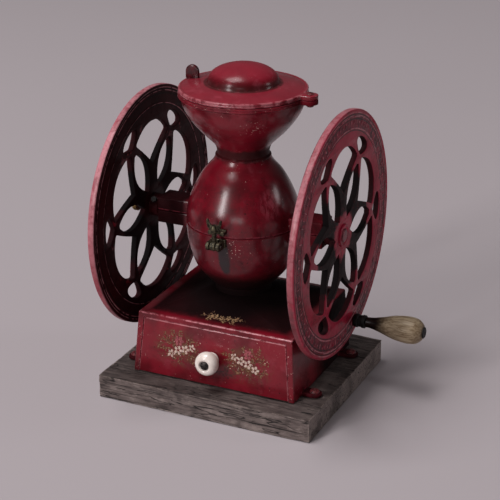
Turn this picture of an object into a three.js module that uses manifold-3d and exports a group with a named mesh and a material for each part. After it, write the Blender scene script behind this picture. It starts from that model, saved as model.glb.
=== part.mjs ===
// Counter-top coffee mill with two flywheels, a tipping hopper and a drawer.
// Millimetres, +Z up. The origin is the centre of the wooden board's underside,
// the shaft runs along X with the crank at +X, and the drawer opens towards -Y.
import * as THREE from 'three';
import { mergeVertices } from 'three/addons/utils/BufferGeometryUtils.js';
import Module from 'manifold-3d';

const wasm = await Module();
wasm.setup();

// ---------------------------------------------------------------- driving sizes
const gap = 0.3;                 // between pieces that touch
const board = { x: 104.5, y: 90, top: 22.4 };
const shaftZ = 160;
const wheel = { radius: 111, inner: 90.3, outer: 96.5, holes: 6 };
const shaft = { radius: 6, left: -101, right: 98.2 };
const skirt = { bottomX: 79.5, topX: 75.6, bottomY: 66.7, topY: 62.4, top: 80.4, wall: 4 };
const seamZ = shaftZ;            // the casting splits at the height of the shaft
const bowlRadius = 51.3;
const shell = 4;                 // wall of both castings
const rim = { radius: 57.2, low: 275, top: 279.1 };
const lidEdge = { radius: 56.8, low: 279.4, top: 283.4 };
const dome = { radius: 31.5, base: 287.4, top: 303.7 };
const lug = { x: 63, half: 7, root: 50, pin: 2.1 };  // vertical pivot of the lid
const arm = { root: 46, end: 81, halfY: 12, halfZ: 12 };
const bush = { start: 50, end: 80.7, outer: 8.7 };
const hinge = { y: 57, radius: 5, pin: 2.2, half: 16, middle: 7.6, web: 47 };
const crank = { radius: 101.5, angle: -70.3 * Math.PI / 180, start: 107.8, end: 162.2 };
const drawer = { bottom: 23.2, top: 75.6, bottomX: 74.5, topX: 69.6, plate: 4, back: 54 };
const tray = { halfX: 66, low: 23.8, top: 66, tin: 1.2 };
const knob = { z: 49.5, radius: 10.8, flange: 6.4, front: -83, hole: 2.4, recess: 4.4, seat: 81.2 };
const foot = { x: 90, y: 44, radius: 6.5, thick: 3, root: 77 };
const latch = { pinY: -61, pinZ: 155.5, pin: 1.6, boltY: -59.6, bolt: 2.1, forkLow: 164, forkTop: 168 };
const hub = { radius: 10.5, start: 82, proud: 1.1 };
const setScrew = { x: 86, angle: 138 * Math.PI / 180, radius: 1.5 };
const burrScrew = { x: -14.5, y: 36, low: 142, top: 159.2 };
const screwRadius = 2;           // the lug screws and the burr screws
const screwTip = 8;              // height of the lug screws' points in the board
const shaftWay = 6.6;            // hole for the shaft in the walls of the castings
const chute = { radius: 18, top: 106 };
const spindleRadius = 3;
const round = 32;                // facets of the large turned shapes

// ---------------------------------------------------------------- solids
function signedVolume(positions, triangles) {
  let sum = 0;
  const corner = [new THREE.Vector3(), new THREE.Vector3(), new THREE.Vector3()];
  for (let i = 0; i < triangles.length; i += 3) {
    corner.forEach((c, k) => c.fromArray(positions, 3 * triangles[i + k]));
    sum += corner[0].dot(corner[1].cross(corner[2])) / 6;
  }
  return sum;
}

function solid(geometry) {
  const bare = geometry.clone();
  bare.deleteAttribute('normal');
  bare.deleteAttribute('uv');
  const merged = mergeVertices(bare, 1e-4);
  const positions = merged.attributes.position.array;
  const index = merged.index.array;
  const triangles = [];
  for (let i = 0; i < index.length; i += 3) {
    const [a, b, c] = [index[i], index[i + 1], index[i + 2]];
    if (a !== b && b !== c && c !== a) {
      triangles.push(a, b, c);
    }
  }
  if (signedVolume(positions, triangles) < 0) {
    triangles.reverse();
  }
  const vertProperties = Float32Array.from(positions);
  const triVerts = Uint32Array.from(triangles);
  return new wasm.Manifold(new wasm.Mesh({ numProp: 3, vertProperties, triVerts }));
}

function geometryOf(body) {
  const { vertProperties, triVerts } = body.getMesh();
  const geometry = new THREE.BufferGeometry();
  geometry.setAttribute('position', new THREE.BufferAttribute(Float32Array.from(vertProperties), 3));
  geometry.setIndex(new THREE.BufferAttribute(Uint32Array.from(triVerts), 1));
  geometry.computeVertexNormals();
  return geometry;
}

const join = (...bodies) => bodies.reduce((all, next) => all.add(next));
const cut = (body, ...tools) => tools.reduce((rest, tool) => rest.subtract(tool), body);

function box(x0, x1, y0, y1, z0, z1) {
  const geometry = new THREE.BoxGeometry(x1 - x0, y1 - y0, z1 - z0);
  geometry.translate((x0 + x1) / 2, (y0 + y1) / 2, (z0 + z1) / 2);
  return solid(geometry);
}

// A block whose bottom and top rectangles differ: each is [x0, x1, y0, y1, z].
function taper(bottom, top) {
  const geometry = new THREE.BoxGeometry(2, 2, 2);
  const place = geometry.attributes.position;
  for (let i = 0; i < place.count; i += 1) {
    const end = place.getZ(i) < 0 ? bottom : top;
    const x = place.getX(i) < 0 ? end[0] : end[1];
    const y = place.getY(i) < 0 ? end[2] : end[3];
    place.setXYZ(i, x, y, end[4]);
  }
  return solid(geometry);
}

// Turned about Z: the profile is a list of [radius, height].
function turned(profile, facets = round) {
  const points = profile.map(([r, z]) => new THREE.Vector2(r, z));
  const geometry = new THREE.LatheGeometry(points, facets);
  geometry.rotateX(Math.PI / 2);
  return solid(geometry);
}

const axisTurn = {
  x: new THREE.Matrix4().makeBasis(
    new THREE.Vector3(0, 1, 0), new THREE.Vector3(0, 0, 1), new THREE.Vector3(1, 0, 0)),
  y: new THREE.Matrix4().makeBasis(
    new THREE.Vector3(1, 0, 0), new THREE.Vector3(0, 0, 1), new THREE.Vector3(0, -1, 0)),
  z: new THREE.Matrix4(),
};

function moved(body, matrix, x = 0, y = 0, z = 0) {
  const geometry = geometryOf(body);
  geometry.applyMatrix4(matrix);
  geometry.translate(x, y, z);
  return solid(geometry);
}

const shifted = (body, x, y, z) => moved(body, axisTurn.z, x, y, z);

// Turned about X: the profile is a list of [radius, x].
const turnedX = (profile, y = 0, z = 0, facets = 20) =>
  moved(turned(profile, facets), axisTurn.x, 0, y, z);

// Turned about Y: the profile is a list of [radius, distance towards -Y].
const turnedY = (profile, x = 0, z = 0, facets = 24) =>
  moved(turned(profile, facets), axisTurn.y, x, 0, z);

const bar = (r, low, high) => [[0, low], [r, low], [r, high], [0, high]];

const rodX = (r, x0, x1, y = 0, z = 0, facets = 20) => turnedX(bar(r, x0, x1), y, z, facets);

const rodY = (r, near, far, x, z, facets) => turnedY(bar(r, near, far), x, z, facets);

const rodZ = (r, z0, z1, x = 0, y = 0, facets = 24) => shifted(turned(bar(r, z0, z1), facets), x, y, 0);

function extruded(shape, depth, curveSegments) {
  return new THREE.ExtrudeGeometry(shape, { depth, bevelEnabled: false, curveSegments });
}

// A flat outline in X and Z given a thickness in Y, from y0 (front) to y1 (back).
function plateY(shape, y0, y1) {
  const body = solid(extruded(shape, y1 - y0, 8));
  return moved(body, axisTurn.y, 0, y1, 0);
}

const polygon = (points) => new THREE.Shape(points.map(([x, y]) => new THREE.Vector2(x, y)));

// ---------------------------------------------------------------- profiles of the castings
function spline(points, divisions) {
  const curve = new THREE.SplineCurve(points.map(([r, z]) => new THREE.Vector2(r, z)));
  return curve.getPoints(divisions);
}

// The same curve moved inwards by a wall's thickness, square to itself.
function inset(points, wall) {
  return points.map((p, i) => {
    const before = points[Math.max(i - 1, 0)];
    const after = points[Math.min(i + 1, points.length - 1)];
    const along = after.clone().sub(before).normalize();
    return new THREE.Vector2(p.x - wall * along.y, p.y + wall * along.x);
  });
}

const pairs = (points) => points.map((p) => [p.x, p.y]);

const lowerBowl = spline([
  [25.8, 101], [33.5, 108], [42.5, 119.5], [47.4, 133], [50.3, 146], [bowlRadius, seamZ]], 7);
const upperBody = spline([
  [bowlRadius, seamZ], [50, 174], [45.8, 187], [37, 204], [27.6, 215.3], [23.3, 225],
  [27, 234], [39, 246], [48.4, 258], [53, 267], [55.6, rim.low]], 14);

const belowSeam = seamZ - gap / 2;
const aboveSeam = seamZ + gap / 2;
const lowerOutside = turned([[0, 92], [25.6, 92], ...pairs(lowerBowl).slice(0, -1),
  [bowlRadius, belowSeam], [0, belowSeam]]);
const upperOutside = turned([[0, aboveSeam], [bowlRadius, aboveSeam], ...pairs(upperBody).slice(1),
  [rim.radius, rim.low], [rim.radius, rim.top], [0, rim.top]]);

// The body about the seam, a gap larger, which the latch pieces are fitted to.
const clearOfBody = turned([[0, 130], ...pairs(inset(lowerBowl.slice(3), -gap)),
  ...pairs(inset(upperBody.slice(1, 5), -gap)), [0, 190]]);

const lowerInside = pairs(inset(lowerBowl, shell));
const upperInside = pairs(inset(upperBody, shell));
const lowerHollow = turned([[0, 60], [chute.radius, 60], [chute.radius, chute.top],
  ...lowerInside.slice(1, -1), [bowlRadius - shell, seamZ + 1], [0, seamZ + 1]]);
const mouth = upperInside[upperInside.length - 1];
const upperHollow = turned([[0, seamZ - 1], [bowlRadius - shell, seamZ - 1],
  ...upperInside.slice(1), [mouth[0], rim.top + 1], [0, rim.top + 1]]);

// ---------------------------------------------------------------- the object
const mill = new THREE.Group();
const rotor = new THREE.Group();
rotor.position.z = shaftZ;
mill.add(rotor);

const finishes = {
  redPaint: { color: 0x7a1522, roughness: 0.42, metalness: 0.1 },
  darkPaint: { color: 0x36101a, roughness: 0.5, metalness: 0.1 },
  iron: { color: 0x4a4540, roughness: 0.5, metalness: 0.8 },
  steel: { color: 0x8f8c86, roughness: 0.35, metalness: 0.95 },
  brass: { color: 0x8d7440, roughness: 0.45, metalness: 0.9 },
  tinplate: { color: 0x6f6a64, roughness: 0.5, metalness: 0.8 },
  boardWood: { color: 0x4f4a45, roughness: 0.85, metalness: 0 },
  handleWood: { color: 0xb39a6a, roughness: 0.45, metalness: 0 },
  ceramic: { color: 0xe9e1d6, roughness: 0.2, metalness: 0 },
};

function piece(name, body, finish, parent = mill) {
  const mesh = new THREE.Mesh(geometryOf(body), new THREE.MeshStandardMaterial(finishes[finish]));
  mesh.name = name;
  parent.add(mesh);
  return mesh;
}

const ordered = (a, b) => (a < b ? [a, b] : [b, a]);
const bushSeats = [-1, 1].map((side) => {
  const ends = ordered(side * (bush.start - gap), side * (arm.end + 4));
  return rodX(bush.outer + gap, ...ends, 0, shaftZ);
});

const shaftPassage = rodX(shaftWay, -60, 60, 0, shaftZ);
const fixedBurr = { x0: -18, x1: -11, outer: 30, inner: 14, earLow: 150.3, earTop: 157 };
const corners = [
  ['front_left', -1, -1], ['back_left', -1, 1], ['front_right', 1, -1], ['back_right', 1, 1]];

// ---------------------------------------------------------------- base
function boltLug(sideX, sideY) {
  const x = sideX * foot.x;
  const y = sideY * foot.y;
  const low = board.top + gap;
  const top = low + foot.thick;
  const tongue = box(...ordered(x, sideX * foot.root), y - foot.radius, y + foot.radius, low, top);
  const end = rodZ(foot.radius, low, top, x, y);
  return cut(join(tongue, end), rodZ(screwRadius + gap, low - 2, top + 2, x, y));
}

// A four-sided roof that sweeps up to the collar in a hollow curve.
function roof(halfX, halfY, low, high) {
  const profile = [[0, low - 1], [1, low - 1]];
  for (let step = 0; step <= 6; step += 1) {
    const t = step / 6;
    profile.push([1 - 0.72 * t, low + (high - low) * t ** 1.7]);
  }
  profile.push([0, high]);
  const points = profile.map(([r, z]) => new THREE.Vector2(r * Math.SQRT2, z));
  const geometry = new THREE.LatheGeometry(points, 4, Math.PI / 4);
  geometry.rotateX(Math.PI / 2);
  geometry.scale(halfX, halfY, 1);
  return solid(geometry);
}

const hingeHole = () => rodX(hinge.pin + gap, -hinge.half - 4, hinge.half + 4, hinge.y, seamZ, 16);

function hingeKnuckle(x0, x1, webLow, webTop) {
  const barrel = rodX(hinge.radius, x0, x1, hinge.y, seamZ);
  return join(barrel, box(x0, x1, hinge.web, hinge.y, webLow, webTop));
}

// Half of each bearing arm, from z0 to z1.
const armHalves = (z0, z1) => [-1, 1].map((side) =>
  box(...ordered(side * arm.root, side * arm.end), -arm.halfY, arm.halfY, z0, z1));

function baseCasting() {
  const low = board.top + gap;
  const { bottomX, topX, bottomY, topY, top, wall } = skirt;
  const outside = taper([-bottomX, bottomX, -bottomY, bottomY, low], [-topX, topX, -topY, topY, top]);
  const inX = [bottomX - wall, topX - wall];
  const inY = [bottomY - wall, topY - wall];
  const ceiling = top - wall;
  const room = taper([-inX[0], inX[0], -inY[0], inY[0], low - 1],
    [-inX[1], inX[1], -inY[1], inY[1], ceiling]);
  const clearX = [drawer.bottomX + 0.5, drawer.topX + 0.5];
  const [front, back] = [-75, -50];
  const doorway = taper([-clearX[0], clearX[0], front, back, low - 1],
    [-clearX[1], clearX[1], front, back, drawer.top + 0.5]);
  const ledgeTop = fixedBurr.earLow - gap;
  const ledges = [-1, 1].map((side) => box(-22, -7, ...ordered(side * 32, side * 50), 139, ledgeTop));
  const screwHoles = [-1, 1].map((side) =>
    rodZ(screwRadius + gap, burrScrew.low - 1, ledgeTop + 2, burrScrew.x, side * burrScrew.y, 12));
  const lugs = corners.map(([, sideX, sideY]) => boltLug(sideX, sideY));
  const outerKnuckle = hinge.middle + 0.4;
  const ears = [[-hinge.half, -outerKnuckle], [outerKnuckle, hinge.half]]
    .map(([x0, x1]) => hingeKnuckle(x0, x1, seamZ - 6, belowSeam));
  const arms = armHalves(shaftZ - arm.halfZ, belowSeam);
  const whole = join(outside, roof(topX, topY, top, 101), lowerOutside, ...arms, ...lugs, ...ears);
  const hollow = cut(whole, room, roof(inX[1], inY[1], ceiling, 95), doorway, lowerHollow);
  const withLedges = join(hollow, ...ledges.map((ledge) => ledge.intersect(lowerOutside)));
  return cut(withLedges, ...bushSeats, ...screwHoles, shaftPassage, hingeHole());
}

const pilotHoles = corners.map(([, sideX, sideY]) =>
  rodZ(screwRadius + gap, screwTip - 0.5, board.top + 2, sideX * foot.x, sideY * foot.y, 12));
const plank = box(-board.x, board.x, -board.y, board.y, 0, board.top);
piece('wood_base_board', cut(plank, ...pilotHoles), 'boardWood');
piece('base_casting', baseCasting(), 'redPaint');

const headLow = board.top + foot.thick + 2 * gap;
const lugScrew = turned([[0, screwTip], [screwRadius, screwTip + 3], [screwRadius, headLow],
  [4.6, headLow], [3.8, headLow + 1.9], [0, headLow + 2.6]], 16);
for (const [corner, sideX, sideY] of corners) {
  piece(`lug_screw_${corner}`, shifted(lugScrew, sideX * foot.x, sideY * foot.y, 0), 'iron');
}

// ---------------------------------------------------------------- hopper
const lidPinHole = rodZ(lug.pin + gap, rim.low - 5, lidEdge.top + 5, lug.x, 0, 16);

// The round-ended lug that carries the lid's pin, on the rim and again on the lid.
function lidLug(low, top) {
  const tongue = box(lug.root, lug.x, -lug.half, lug.half, low, top);
  return join(tongue, rodZ(lug.half, low, top, lug.x));
}

function hopperCasting() {
  const arms = armHalves(aboveSeam, shaftZ + arm.halfZ);
  const knuckle = hingeKnuckle(-hinge.middle, hinge.middle, aboveSeam, seamZ + hinge.radius);
  const outside = join(upperOutside, ...arms, lidLug(rim.low, rim.top), knuckle);
  return cut(outside, upperHollow, ...bushSeats, shaftPassage, hingeHole(), lidPinHole);
}

piece('hopper_casting', hopperCasting(), 'redPaint');
const pinFoot = rim.low - gap;
const pinTop = lidEdge.top + gap;
const lidPin = turned([[0, rim.low - 2.4], [3.3, rim.low - 2.4], [3.3, pinFoot], [lug.pin, pinFoot],
  [lug.pin, pinTop], [3.4, pinTop], [2.6, 285], [0, 285]], 16);
piece('lid_pivot_pin', shifted(lidPin, lug.x, 0, 0), 'iron');

// ---------------------------------------------------------------- lid
function arcPoints(radius, height, base, steps) {
  const points = [];
  for (let step = 0; step <= steps; step += 1) {
    const turn = (step / steps) * Math.PI / 2;
    points.push([radius * Math.cos(turn), base + height * Math.sin(turn)]);
  }
  return points;
}

function lidBody() {
  const { low, top, radius } = lidEdge;
  const steps = 5;
  const insideRadius = dome.radius - 3;
  const height = dome.top - dome.base;
  const outer = arcPoints(dome.radius, height, dome.base, steps);
  const inner = arcPoints(insideRadius, height - 3, dome.base, steps).reverse();
  inner[0][0] = 0;
  outer[steps][0] = 0;
  const plate = turned([...inner, [insideRadius, 284], [49, low + 1], [50.5, low], [radius, low],
    [radius, top - 0.6], [radius - 0.6, top], [34.2, dome.base - 0.5], ...outer]);
  return cut(join(plate, lidLug(low, top)), lidPinHole);
}

const lidSolid = lidBody();
piece('lid', lidSolid, 'redPaint');

const tab = { x0: -55.5, x1: -43, top: 296.8, half: 1.9 };
const tabShape = new THREE.Shape();
const tabRadius = (tab.x1 - tab.x0) / 2;
tabShape.moveTo(tab.x0, lidEdge.top - 1.4);
tabShape.lineTo(tab.x1, lidEdge.top - 1.4);
tabShape.absarc((tab.x0 + tab.x1) / 2, tab.top - tabRadius, tabRadius, 0, Math.PI);
const tabPlate = plateY(tabShape, -tab.half, tab.half);
piece('lid_thumb_tab', cut(tabPlate, shifted(lidSolid, 0, 0, gap)), 'darkPaint');

// ---------------------------------------------------------------- flywheels
const polar = (r, angle) => new THREE.Vector2(r * Math.cos(angle), r * Math.sin(angle));

// Outlines of the three kinds of hole, each drawn along the +U axis of the wheel's face.
function petalHole() {
  const path = new THREE.Path();
  path.moveTo(17, 0);
  path.quadraticCurveTo(43, -22.6, 66, 0);
  path.quadraticCurveTo(43, 22.6, 17, 0);
  return path.getPoints(5);
}

function shieldHole() {
  const path = new THREE.Path();
  path.moveTo(39.7, 0);
  path.quadraticCurveTo(52, -13, 63, -28.6);
  path.quadraticCurveTo(65, -31, 67.5, -28);
  path.quadraticCurveTo(80, -16, 80, 0);
  path.quadraticCurveTo(80, 16, 67.5, 28);
  path.quadraticCurveTo(65, 31, 63, 28.6);
  path.quadraticCurveTo(52, 13, 39.7, 0);
  return path.getPoints(3);
}

function teardropHole() {
  const path = new THREE.Path();
  path.moveTo(73, 0);
  path.quadraticCurveTo(76, -7.5, 80, -11.8);
  path.bezierCurveTo(84, -16.5, 88.8, -11, 88.8, 0);
  path.bezierCurveTo(88.8, 11, 84, 16.5, 80, 11.8);
  path.quadraticCurveTo(76, 7.5, 73, 0);
  return path.getPoints(3);
}

function wheelFace() {
  const facets = 64;
  const edge = Array.from({ length: facets }, (_, k) => polar(wheel.radius, (k / facets) * 2 * Math.PI));
  const face = new THREE.Shape(edge);
  for (let sector = 0; sector < wheel.holes; sector += 1) {
    const turn = (sector / wheel.holes) * 2 * Math.PI;
    const half = Math.PI / wheel.holes;
    const holes = [[petalHole(), turn], [shieldHole(), turn + half], [teardropHole(), turn]];
    for (const [outline, angle] of holes) {
      const hole = outline.slice(0, -1).map((p) => p.clone().rotateAround(new THREE.Vector2(), angle));
      face.holes.push(new THREE.Path(hole));
    }
  }
  return face;
}

const spindle = { y: crank.radius * Math.cos(crank.angle), z: crank.radius * Math.sin(crank.angle) };

// A rod pointing out from the shaft at the set screw's angle.
function radialRod(r, from, to, x, facets) {
  const geometry = geometryOf(rodZ(r, from, to, 0, 0, facets));
  geometry.rotateX(setScrew.angle - Math.PI / 2);
  geometry.translate(x, 0, 0);
  return solid(geometry);
}

const spindleHole = rodX(spindleRadius + gap, 80, 100, spindle.y, spindle.z, 16);

function flywheel(side) {
  const depth = wheel.outer - wheel.inner;
  const x0 = side > 0 ? wheel.inner : -wheel.outer;
  const face = moved(solid(extruded(wheelFace(), depth, 4)), axisTurn.x, x0, 0, 0);
  const boss = rodX(hub.radius, ...ordered(side * hub.start, side * (wheel.outer + hub.proud)));
  const bore = rodX(shaft.radius + gap, ...ordered(side * (hub.start - 10), side * (wheel.outer + 10)));
  const tools = [bore, radialRod(setScrew.radius + gap, 3, 20, side * setScrew.x, 12)];
  if (side > 0) {
    tools.push(spindleHole);
  }
  return cut(join(face, boss), ...tools);
}

piece('flywheel_left', flywheel(-1), 'redPaint', rotor);
piece('flywheel_right', flywheel(1), 'redPaint', rotor);
for (const [hand, side] of [['left', -1], ['right', 1]]) {
  const stem = radialRod(setScrew.radius, 6.4, 11, side * setScrew.x, 12);
  const head = radialRod(2.8, 10.9, 13.4, side * setScrew.x, 6);
  piece(`wheel_set_screw_${hand}`, join(stem, head), 'steel', rotor);
}

// ---------------------------------------------------------------- shaft and what turns on it
const adjuster = { stem: 2.5, left: -111, right: -105.2, radius: 8.5, ribs: 14 };
const tappedHole = rodX(adjuster.stem + 0.4, adjuster.left + 1, -87, 0, 0, 16);
piece('drive_shaft', cut(rodX(shaft.radius, shaft.left, shaft.right), tappedHole), 'steel', rotor);

function feedWorm() {
  const worm = { x0: -9.8, x1: 26, pitch: 14, turns: 2, radius: 9.5, sleeve: 8.2 };
  const perTurn = 12;
  const steps = perTurn * worm.turns;
  const points = Array.from({ length: steps + 1 }, (_, step) => {
    const ring = polar(worm.radius, (step / perTurn) * 2 * Math.PI);
    return new THREE.Vector3(worm.x0 + 3 + (worm.pitch * step) / perTurn, ring.x, ring.y);
  });
  const extrudePath = new THREE.CatmullRomCurve3(points);
  const section = polygon([[-1.6, -3.2], [1.6, -3.2], [1.6, 3.2], [-1.6, 3.2]]);
  const blade = solid(new THREE.ExtrudeGeometry(section, { extrudePath, steps, bevelEnabled: false }));
  const sleeve = rodX(worm.sleeve, worm.x0, worm.x1);
  return cut(join(sleeve, blade), rodX(shaft.radius + gap, -20, 60));
}

const runningBurr = { x0: -25.4, x1: -18.4, outer: 24 };

// Grinding teeth are shallow radial grooves in a burr's face.
function grooves(faceX, from, to, count) {
  return Array.from({ length: count }, (_, k) => {
    const geometry = geometryOf(box(faceX - 1, faceX + 1, from, to, -0.8, 0.8));
    geometry.rotateX((k / count) * 2 * Math.PI);
    return solid(geometry);
  });
}

piece('feed_worm', feedWorm(), 'iron', rotor);
piece('running_burr', cut(rodX(runningBurr.outer, runningBurr.x0, runningBurr.x1),
  rodX(shaft.radius + gap, -30, -10), ...grooves(runningBurr.x1, 13, 30, 12)), 'steel', rotor);

// ---------------------------------------------------------------- crank
const nutThick = 4.6;
piece('crank_spindle', join(
  rodX(spindleRadius, 84.6, crank.end + 0.4, spindle.y, spindle.z, 16),
  rodX(6, wheel.outer + gap, crank.start - gap, spindle.y, spindle.z),
  rodX(5.2, crank.end + gap, crank.end + 1.7, spindle.y, spindle.z)), 'iron', rotor);
const hexagon = rodX(6, wheel.inner - gap - nutThick, wheel.inner - gap, spindle.y, spindle.z, 6);
piece('crank_nut', cut(hexagon, spindleHole), 'iron', rotor);

const gripCurve = spline([
  [4.7, 0], [5.2, 6], [7.6, 16], [10.8, 27], [12.3, 39], [11.4, 48], [8, 53], [5.4, 54.4]], 8);
const gripProfile = pairs(gripCurve).map(([r, along]) => [r, crank.start + along]);
const gripBore = spindleRadius + 0.4;
piece('crank_handle', turnedX([[gripBore, crank.start], ...gripProfile, [gripBore, crank.end],
  [gripBore, crank.start]], spindle.y, spindle.z, 16), 'handleWood', rotor);

// ---------------------------------------------------------------- grind adjuster, on the shaft's left end
function ribbedKnob() {
  const { left, right, radius, ribs } = adjuster;
  const edge = Array.from({ length: 2 * ribs }, (_, k) =>
    polar(k % 2 ? radius : radius - 0.7, (k / ribs) * Math.PI));
  return moved(solid(extruded(new THREE.Shape(edge), right - left, 4)), axisTurn.x, left, 0, 0);
}

const adjusterStem = rodX(adjuster.stem, adjuster.left + 1, -89, 0, 0, 16);
piece('adjuster_screw', join(adjusterStem, ribbedKnob()), 'brass', rotor);
const lockNut = rodX(5.6, adjuster.right + gap, shaft.left - gap, 0, 0, 6);
const lockNutHole = rodX(adjuster.stem + gap, -110, -95, 0, 0, 16);
piece('adjuster_lock_nut', cut(lockNut, lockNutHole), 'iron', rotor);

// ---------------------------------------------------------------- bearings and grinding chamber
for (const [hand, side] of [['left', -1], ['right', 1]]) {
  const ring = cut(rodX(bush.outer, ...ordered(side * bush.start, side * bush.end), 0, shaftZ),
    rodX(shaft.radius + gap, ...ordered(side * 40, side * 90), 0, shaftZ));
  piece(`bearing_bush_${hand}`, ring, 'brass');
}

function fixedBurrBody() {
  const { x0, x1, outer, inner, earLow, earTop } = fixedBurr;
  const ears = [-1, 1].map((side) => box(x0, x1, ...ordered(side * 26, side * 39.5), earLow, earTop));
  const holes = [-1, 1].map((side) =>
    rodZ(screwRadius + gap, earLow - 5, earTop + 3, burrScrew.x, side * burrScrew.y, 12));
  const teeth = grooves(x0, 16, 40, 12).map((groove) => shifted(groove, 0, 0, shaftZ));
  const ring = cut(rodX(outer, x0, x1, 0, shaftZ), rodX(inner, -30, 0, 0, shaftZ));
  return cut(join(ring, ...ears), ...holes, ...teeth);
}

piece('fixed_burr', fixedBurrBody(), 'steel');
const burrScrewHead = fixedBurr.earTop + gap;
const burrScrewBody = turned([[0, burrScrew.low], [screwRadius, burrScrew.low], [screwRadius, burrScrewHead],
  [3.2, burrScrewHead], [3.2, burrScrew.top], [0, burrScrew.top]], 12);
for (const [end, sideY] of [['front', -1], ['back', 1]]) {
  piece(`burr_screw_${end}`, shifted(burrScrewBody, burrScrew.x, sideY * burrScrew.y, 0), 'steel');
}

const pinHead = -hinge.half - gap;
piece('hinge_pin', turnedX([[0, -18.5], [3.4, -18.5], [3.4, pinHead], [hinge.pin, pinHead],
  [hinge.pin, 18.4], [1.6, 19], [0, 19]], hinge.y, seamZ, 16), 'iron');

// ---------------------------------------------------------------- drawer
const lean = (skirt.bottomY - skirt.topY) / (skirt.top - board.top);
const faceY = (z) => -skirt.bottomY + lean * (z - board.top);

const knobHole = rodY(knob.hole, 40, 80, 0, knob.z, 16);

function drawerFront() {
  const slice = (halfX, z) => [-halfX, halfX, faceY(z), faceY(z) + drawer.plate, z];
  const plate = taper(slice(drawer.bottomX, drawer.bottom), slice(drawer.topX, drawer.top));
  return cut(plate, knobHole);
}

function drawerTray() {
  const { halfX, low, top, tin } = tray;
  const sliceAt = (z, wall) =>
    [wall - halfX, halfX - wall, faceY(z) + drawer.plate + gap + wall, drawer.back - wall, z];
  const outside = taper(sliceAt(low, 0), sliceAt(top, 0));
  const inside = taper(sliceAt(low + tin, tin), sliceAt(top + 1, tin));
  return cut(outside, inside, knobHole);
}

piece('drawer_front', drawerFront(), 'redPaint');
piece('drawer_tray', drawerTray(), 'tinplate');
const knobBack = -faceY(knob.z - knob.flange) + gap;
piece('drawer_knob', turnedY([[knob.hole, knobBack], [knob.flange, knobBack], [5.8, 69], [9.4, 71.5],
  [knob.radius, 75], [knob.radius, 78], [9.6, 81.3], [7.4, -knob.front], [4.8, -knob.front],
  [knob.recess, knob.seat], [knob.hole, knob.seat], [knob.hole, knobBack]], 0, knob.z, 18), 'ceramic');

const knobStem = knob.hole - gap;
const screwHead = knob.seat + gap;
const knobScrew = turnedY([[0, 54], [knobStem, 54], [knobStem, screwHead], [4, screwHead], [4, 82.6],
  [2.6, 83.2], [0, 83.2]], 0, knob.z, 16);
const slot = box(-5, 5, -84, -82.3, knob.z - 0.5, knob.z + 0.5);
piece('knob_screw', cut(knobScrew, slot), 'steel');
piece('knob_nut', cut(rodY(4.8, 55, 58.4, 0, knob.z, 6), knobHole), 'steel');

// ---------------------------------------------------------------- front latch
const latchPinHole = rodX(latch.pin + gap, -10, 10, latch.pinY, latch.pinZ, 12);

function latchClevis() {
  const low = latch.pinZ - 4;
  const plate = cut(box(-7.4, 7.4, -54.2, -40, low, seamZ - 0.6), clearOfBody);
  const ears = [[-6.4, -3.2], [3.2, 6.4]].map(([a, b]) => join(rodX(4, a, b, latch.pinY, latch.pinZ, 16),
    box(a, b, latch.pinY, -53, low + 0.2, latch.pinZ + 3.6)));
  return cut(join(plate, ...ears), latchPinHole);
}

function latchFork() {
  const plate = box(-7.5, 7.5, -57, -40, latch.forkLow, latch.forkTop);
  return cut(plate, box(-3.3, 3.3, -60, -52.6, 160, 170), clearOfBody);
}

function swingBolt() {
  const eye = rodX(3.9, -2.6, 2.6, latch.pinY, latch.pinZ, 16);
  const stem = rodZ(latch.bolt, latch.pinZ + 1, 173, 0, latch.boltY, 12);
  return cut(join(eye, stem), latchPinHole);
}

function wingNut() {
  const profile = [[0, 168.4], [3.4, 168.4], [3.6, 171], [3, 173.6], [0, 175.2]];
  const boss = shifted(turned(profile, 16), 0, latch.boltY, 0);
  const outline = [[2, 170.2], [5.6, 171.6], [7.3, 179], [6.2, 180], [4.2, 176], [2, 174.4]];
  const wing = (side) => {
    const shape = polygon(outline.map(([x, z]) => [side * x, z]));
    return plateY(shape, latch.boltY - 1, latch.boltY + 1);
  };
  return cut(join(boss, wing(-1), wing(1)), rodZ(latch.bolt + gap, 160, 173.3, 0, latch.boltY, 12));
}

piece('latch_clevis', latchClevis(), 'brass');
piece('latch_fork', latchFork(), 'brass');
piece('latch_pin', rodX(latch.pin, -7.4, 7.4, latch.pinY, latch.pinZ, 12), 'iron');
piece('swing_bolt', swingBolt(), 'brass');
piece('wing_nut', wingNut(), 'brass');

export default mill;
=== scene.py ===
import random
from math import atan2, cos, pi, radians, sin

import bmesh
import bpy
from mathutils import Matrix, Vector


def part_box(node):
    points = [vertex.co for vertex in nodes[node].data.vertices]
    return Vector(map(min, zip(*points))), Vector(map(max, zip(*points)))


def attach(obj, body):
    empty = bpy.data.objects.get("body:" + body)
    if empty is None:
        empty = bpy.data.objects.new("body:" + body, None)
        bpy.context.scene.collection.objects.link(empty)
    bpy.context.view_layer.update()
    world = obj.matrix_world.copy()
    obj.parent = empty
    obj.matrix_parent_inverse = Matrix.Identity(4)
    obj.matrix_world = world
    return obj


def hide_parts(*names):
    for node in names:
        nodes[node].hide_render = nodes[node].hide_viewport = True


# Counter coffee mill. The CAD parts carry every size. The pieces made here stand
# for them with finer surfaces. Lengths are in millimetres until a piece is placed.
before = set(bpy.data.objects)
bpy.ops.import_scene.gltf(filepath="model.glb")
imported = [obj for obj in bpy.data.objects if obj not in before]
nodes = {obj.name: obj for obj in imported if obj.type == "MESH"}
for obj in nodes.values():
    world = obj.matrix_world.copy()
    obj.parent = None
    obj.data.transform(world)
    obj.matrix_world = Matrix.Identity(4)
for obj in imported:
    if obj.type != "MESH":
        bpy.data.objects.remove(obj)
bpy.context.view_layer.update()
MM = 0.001


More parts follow.
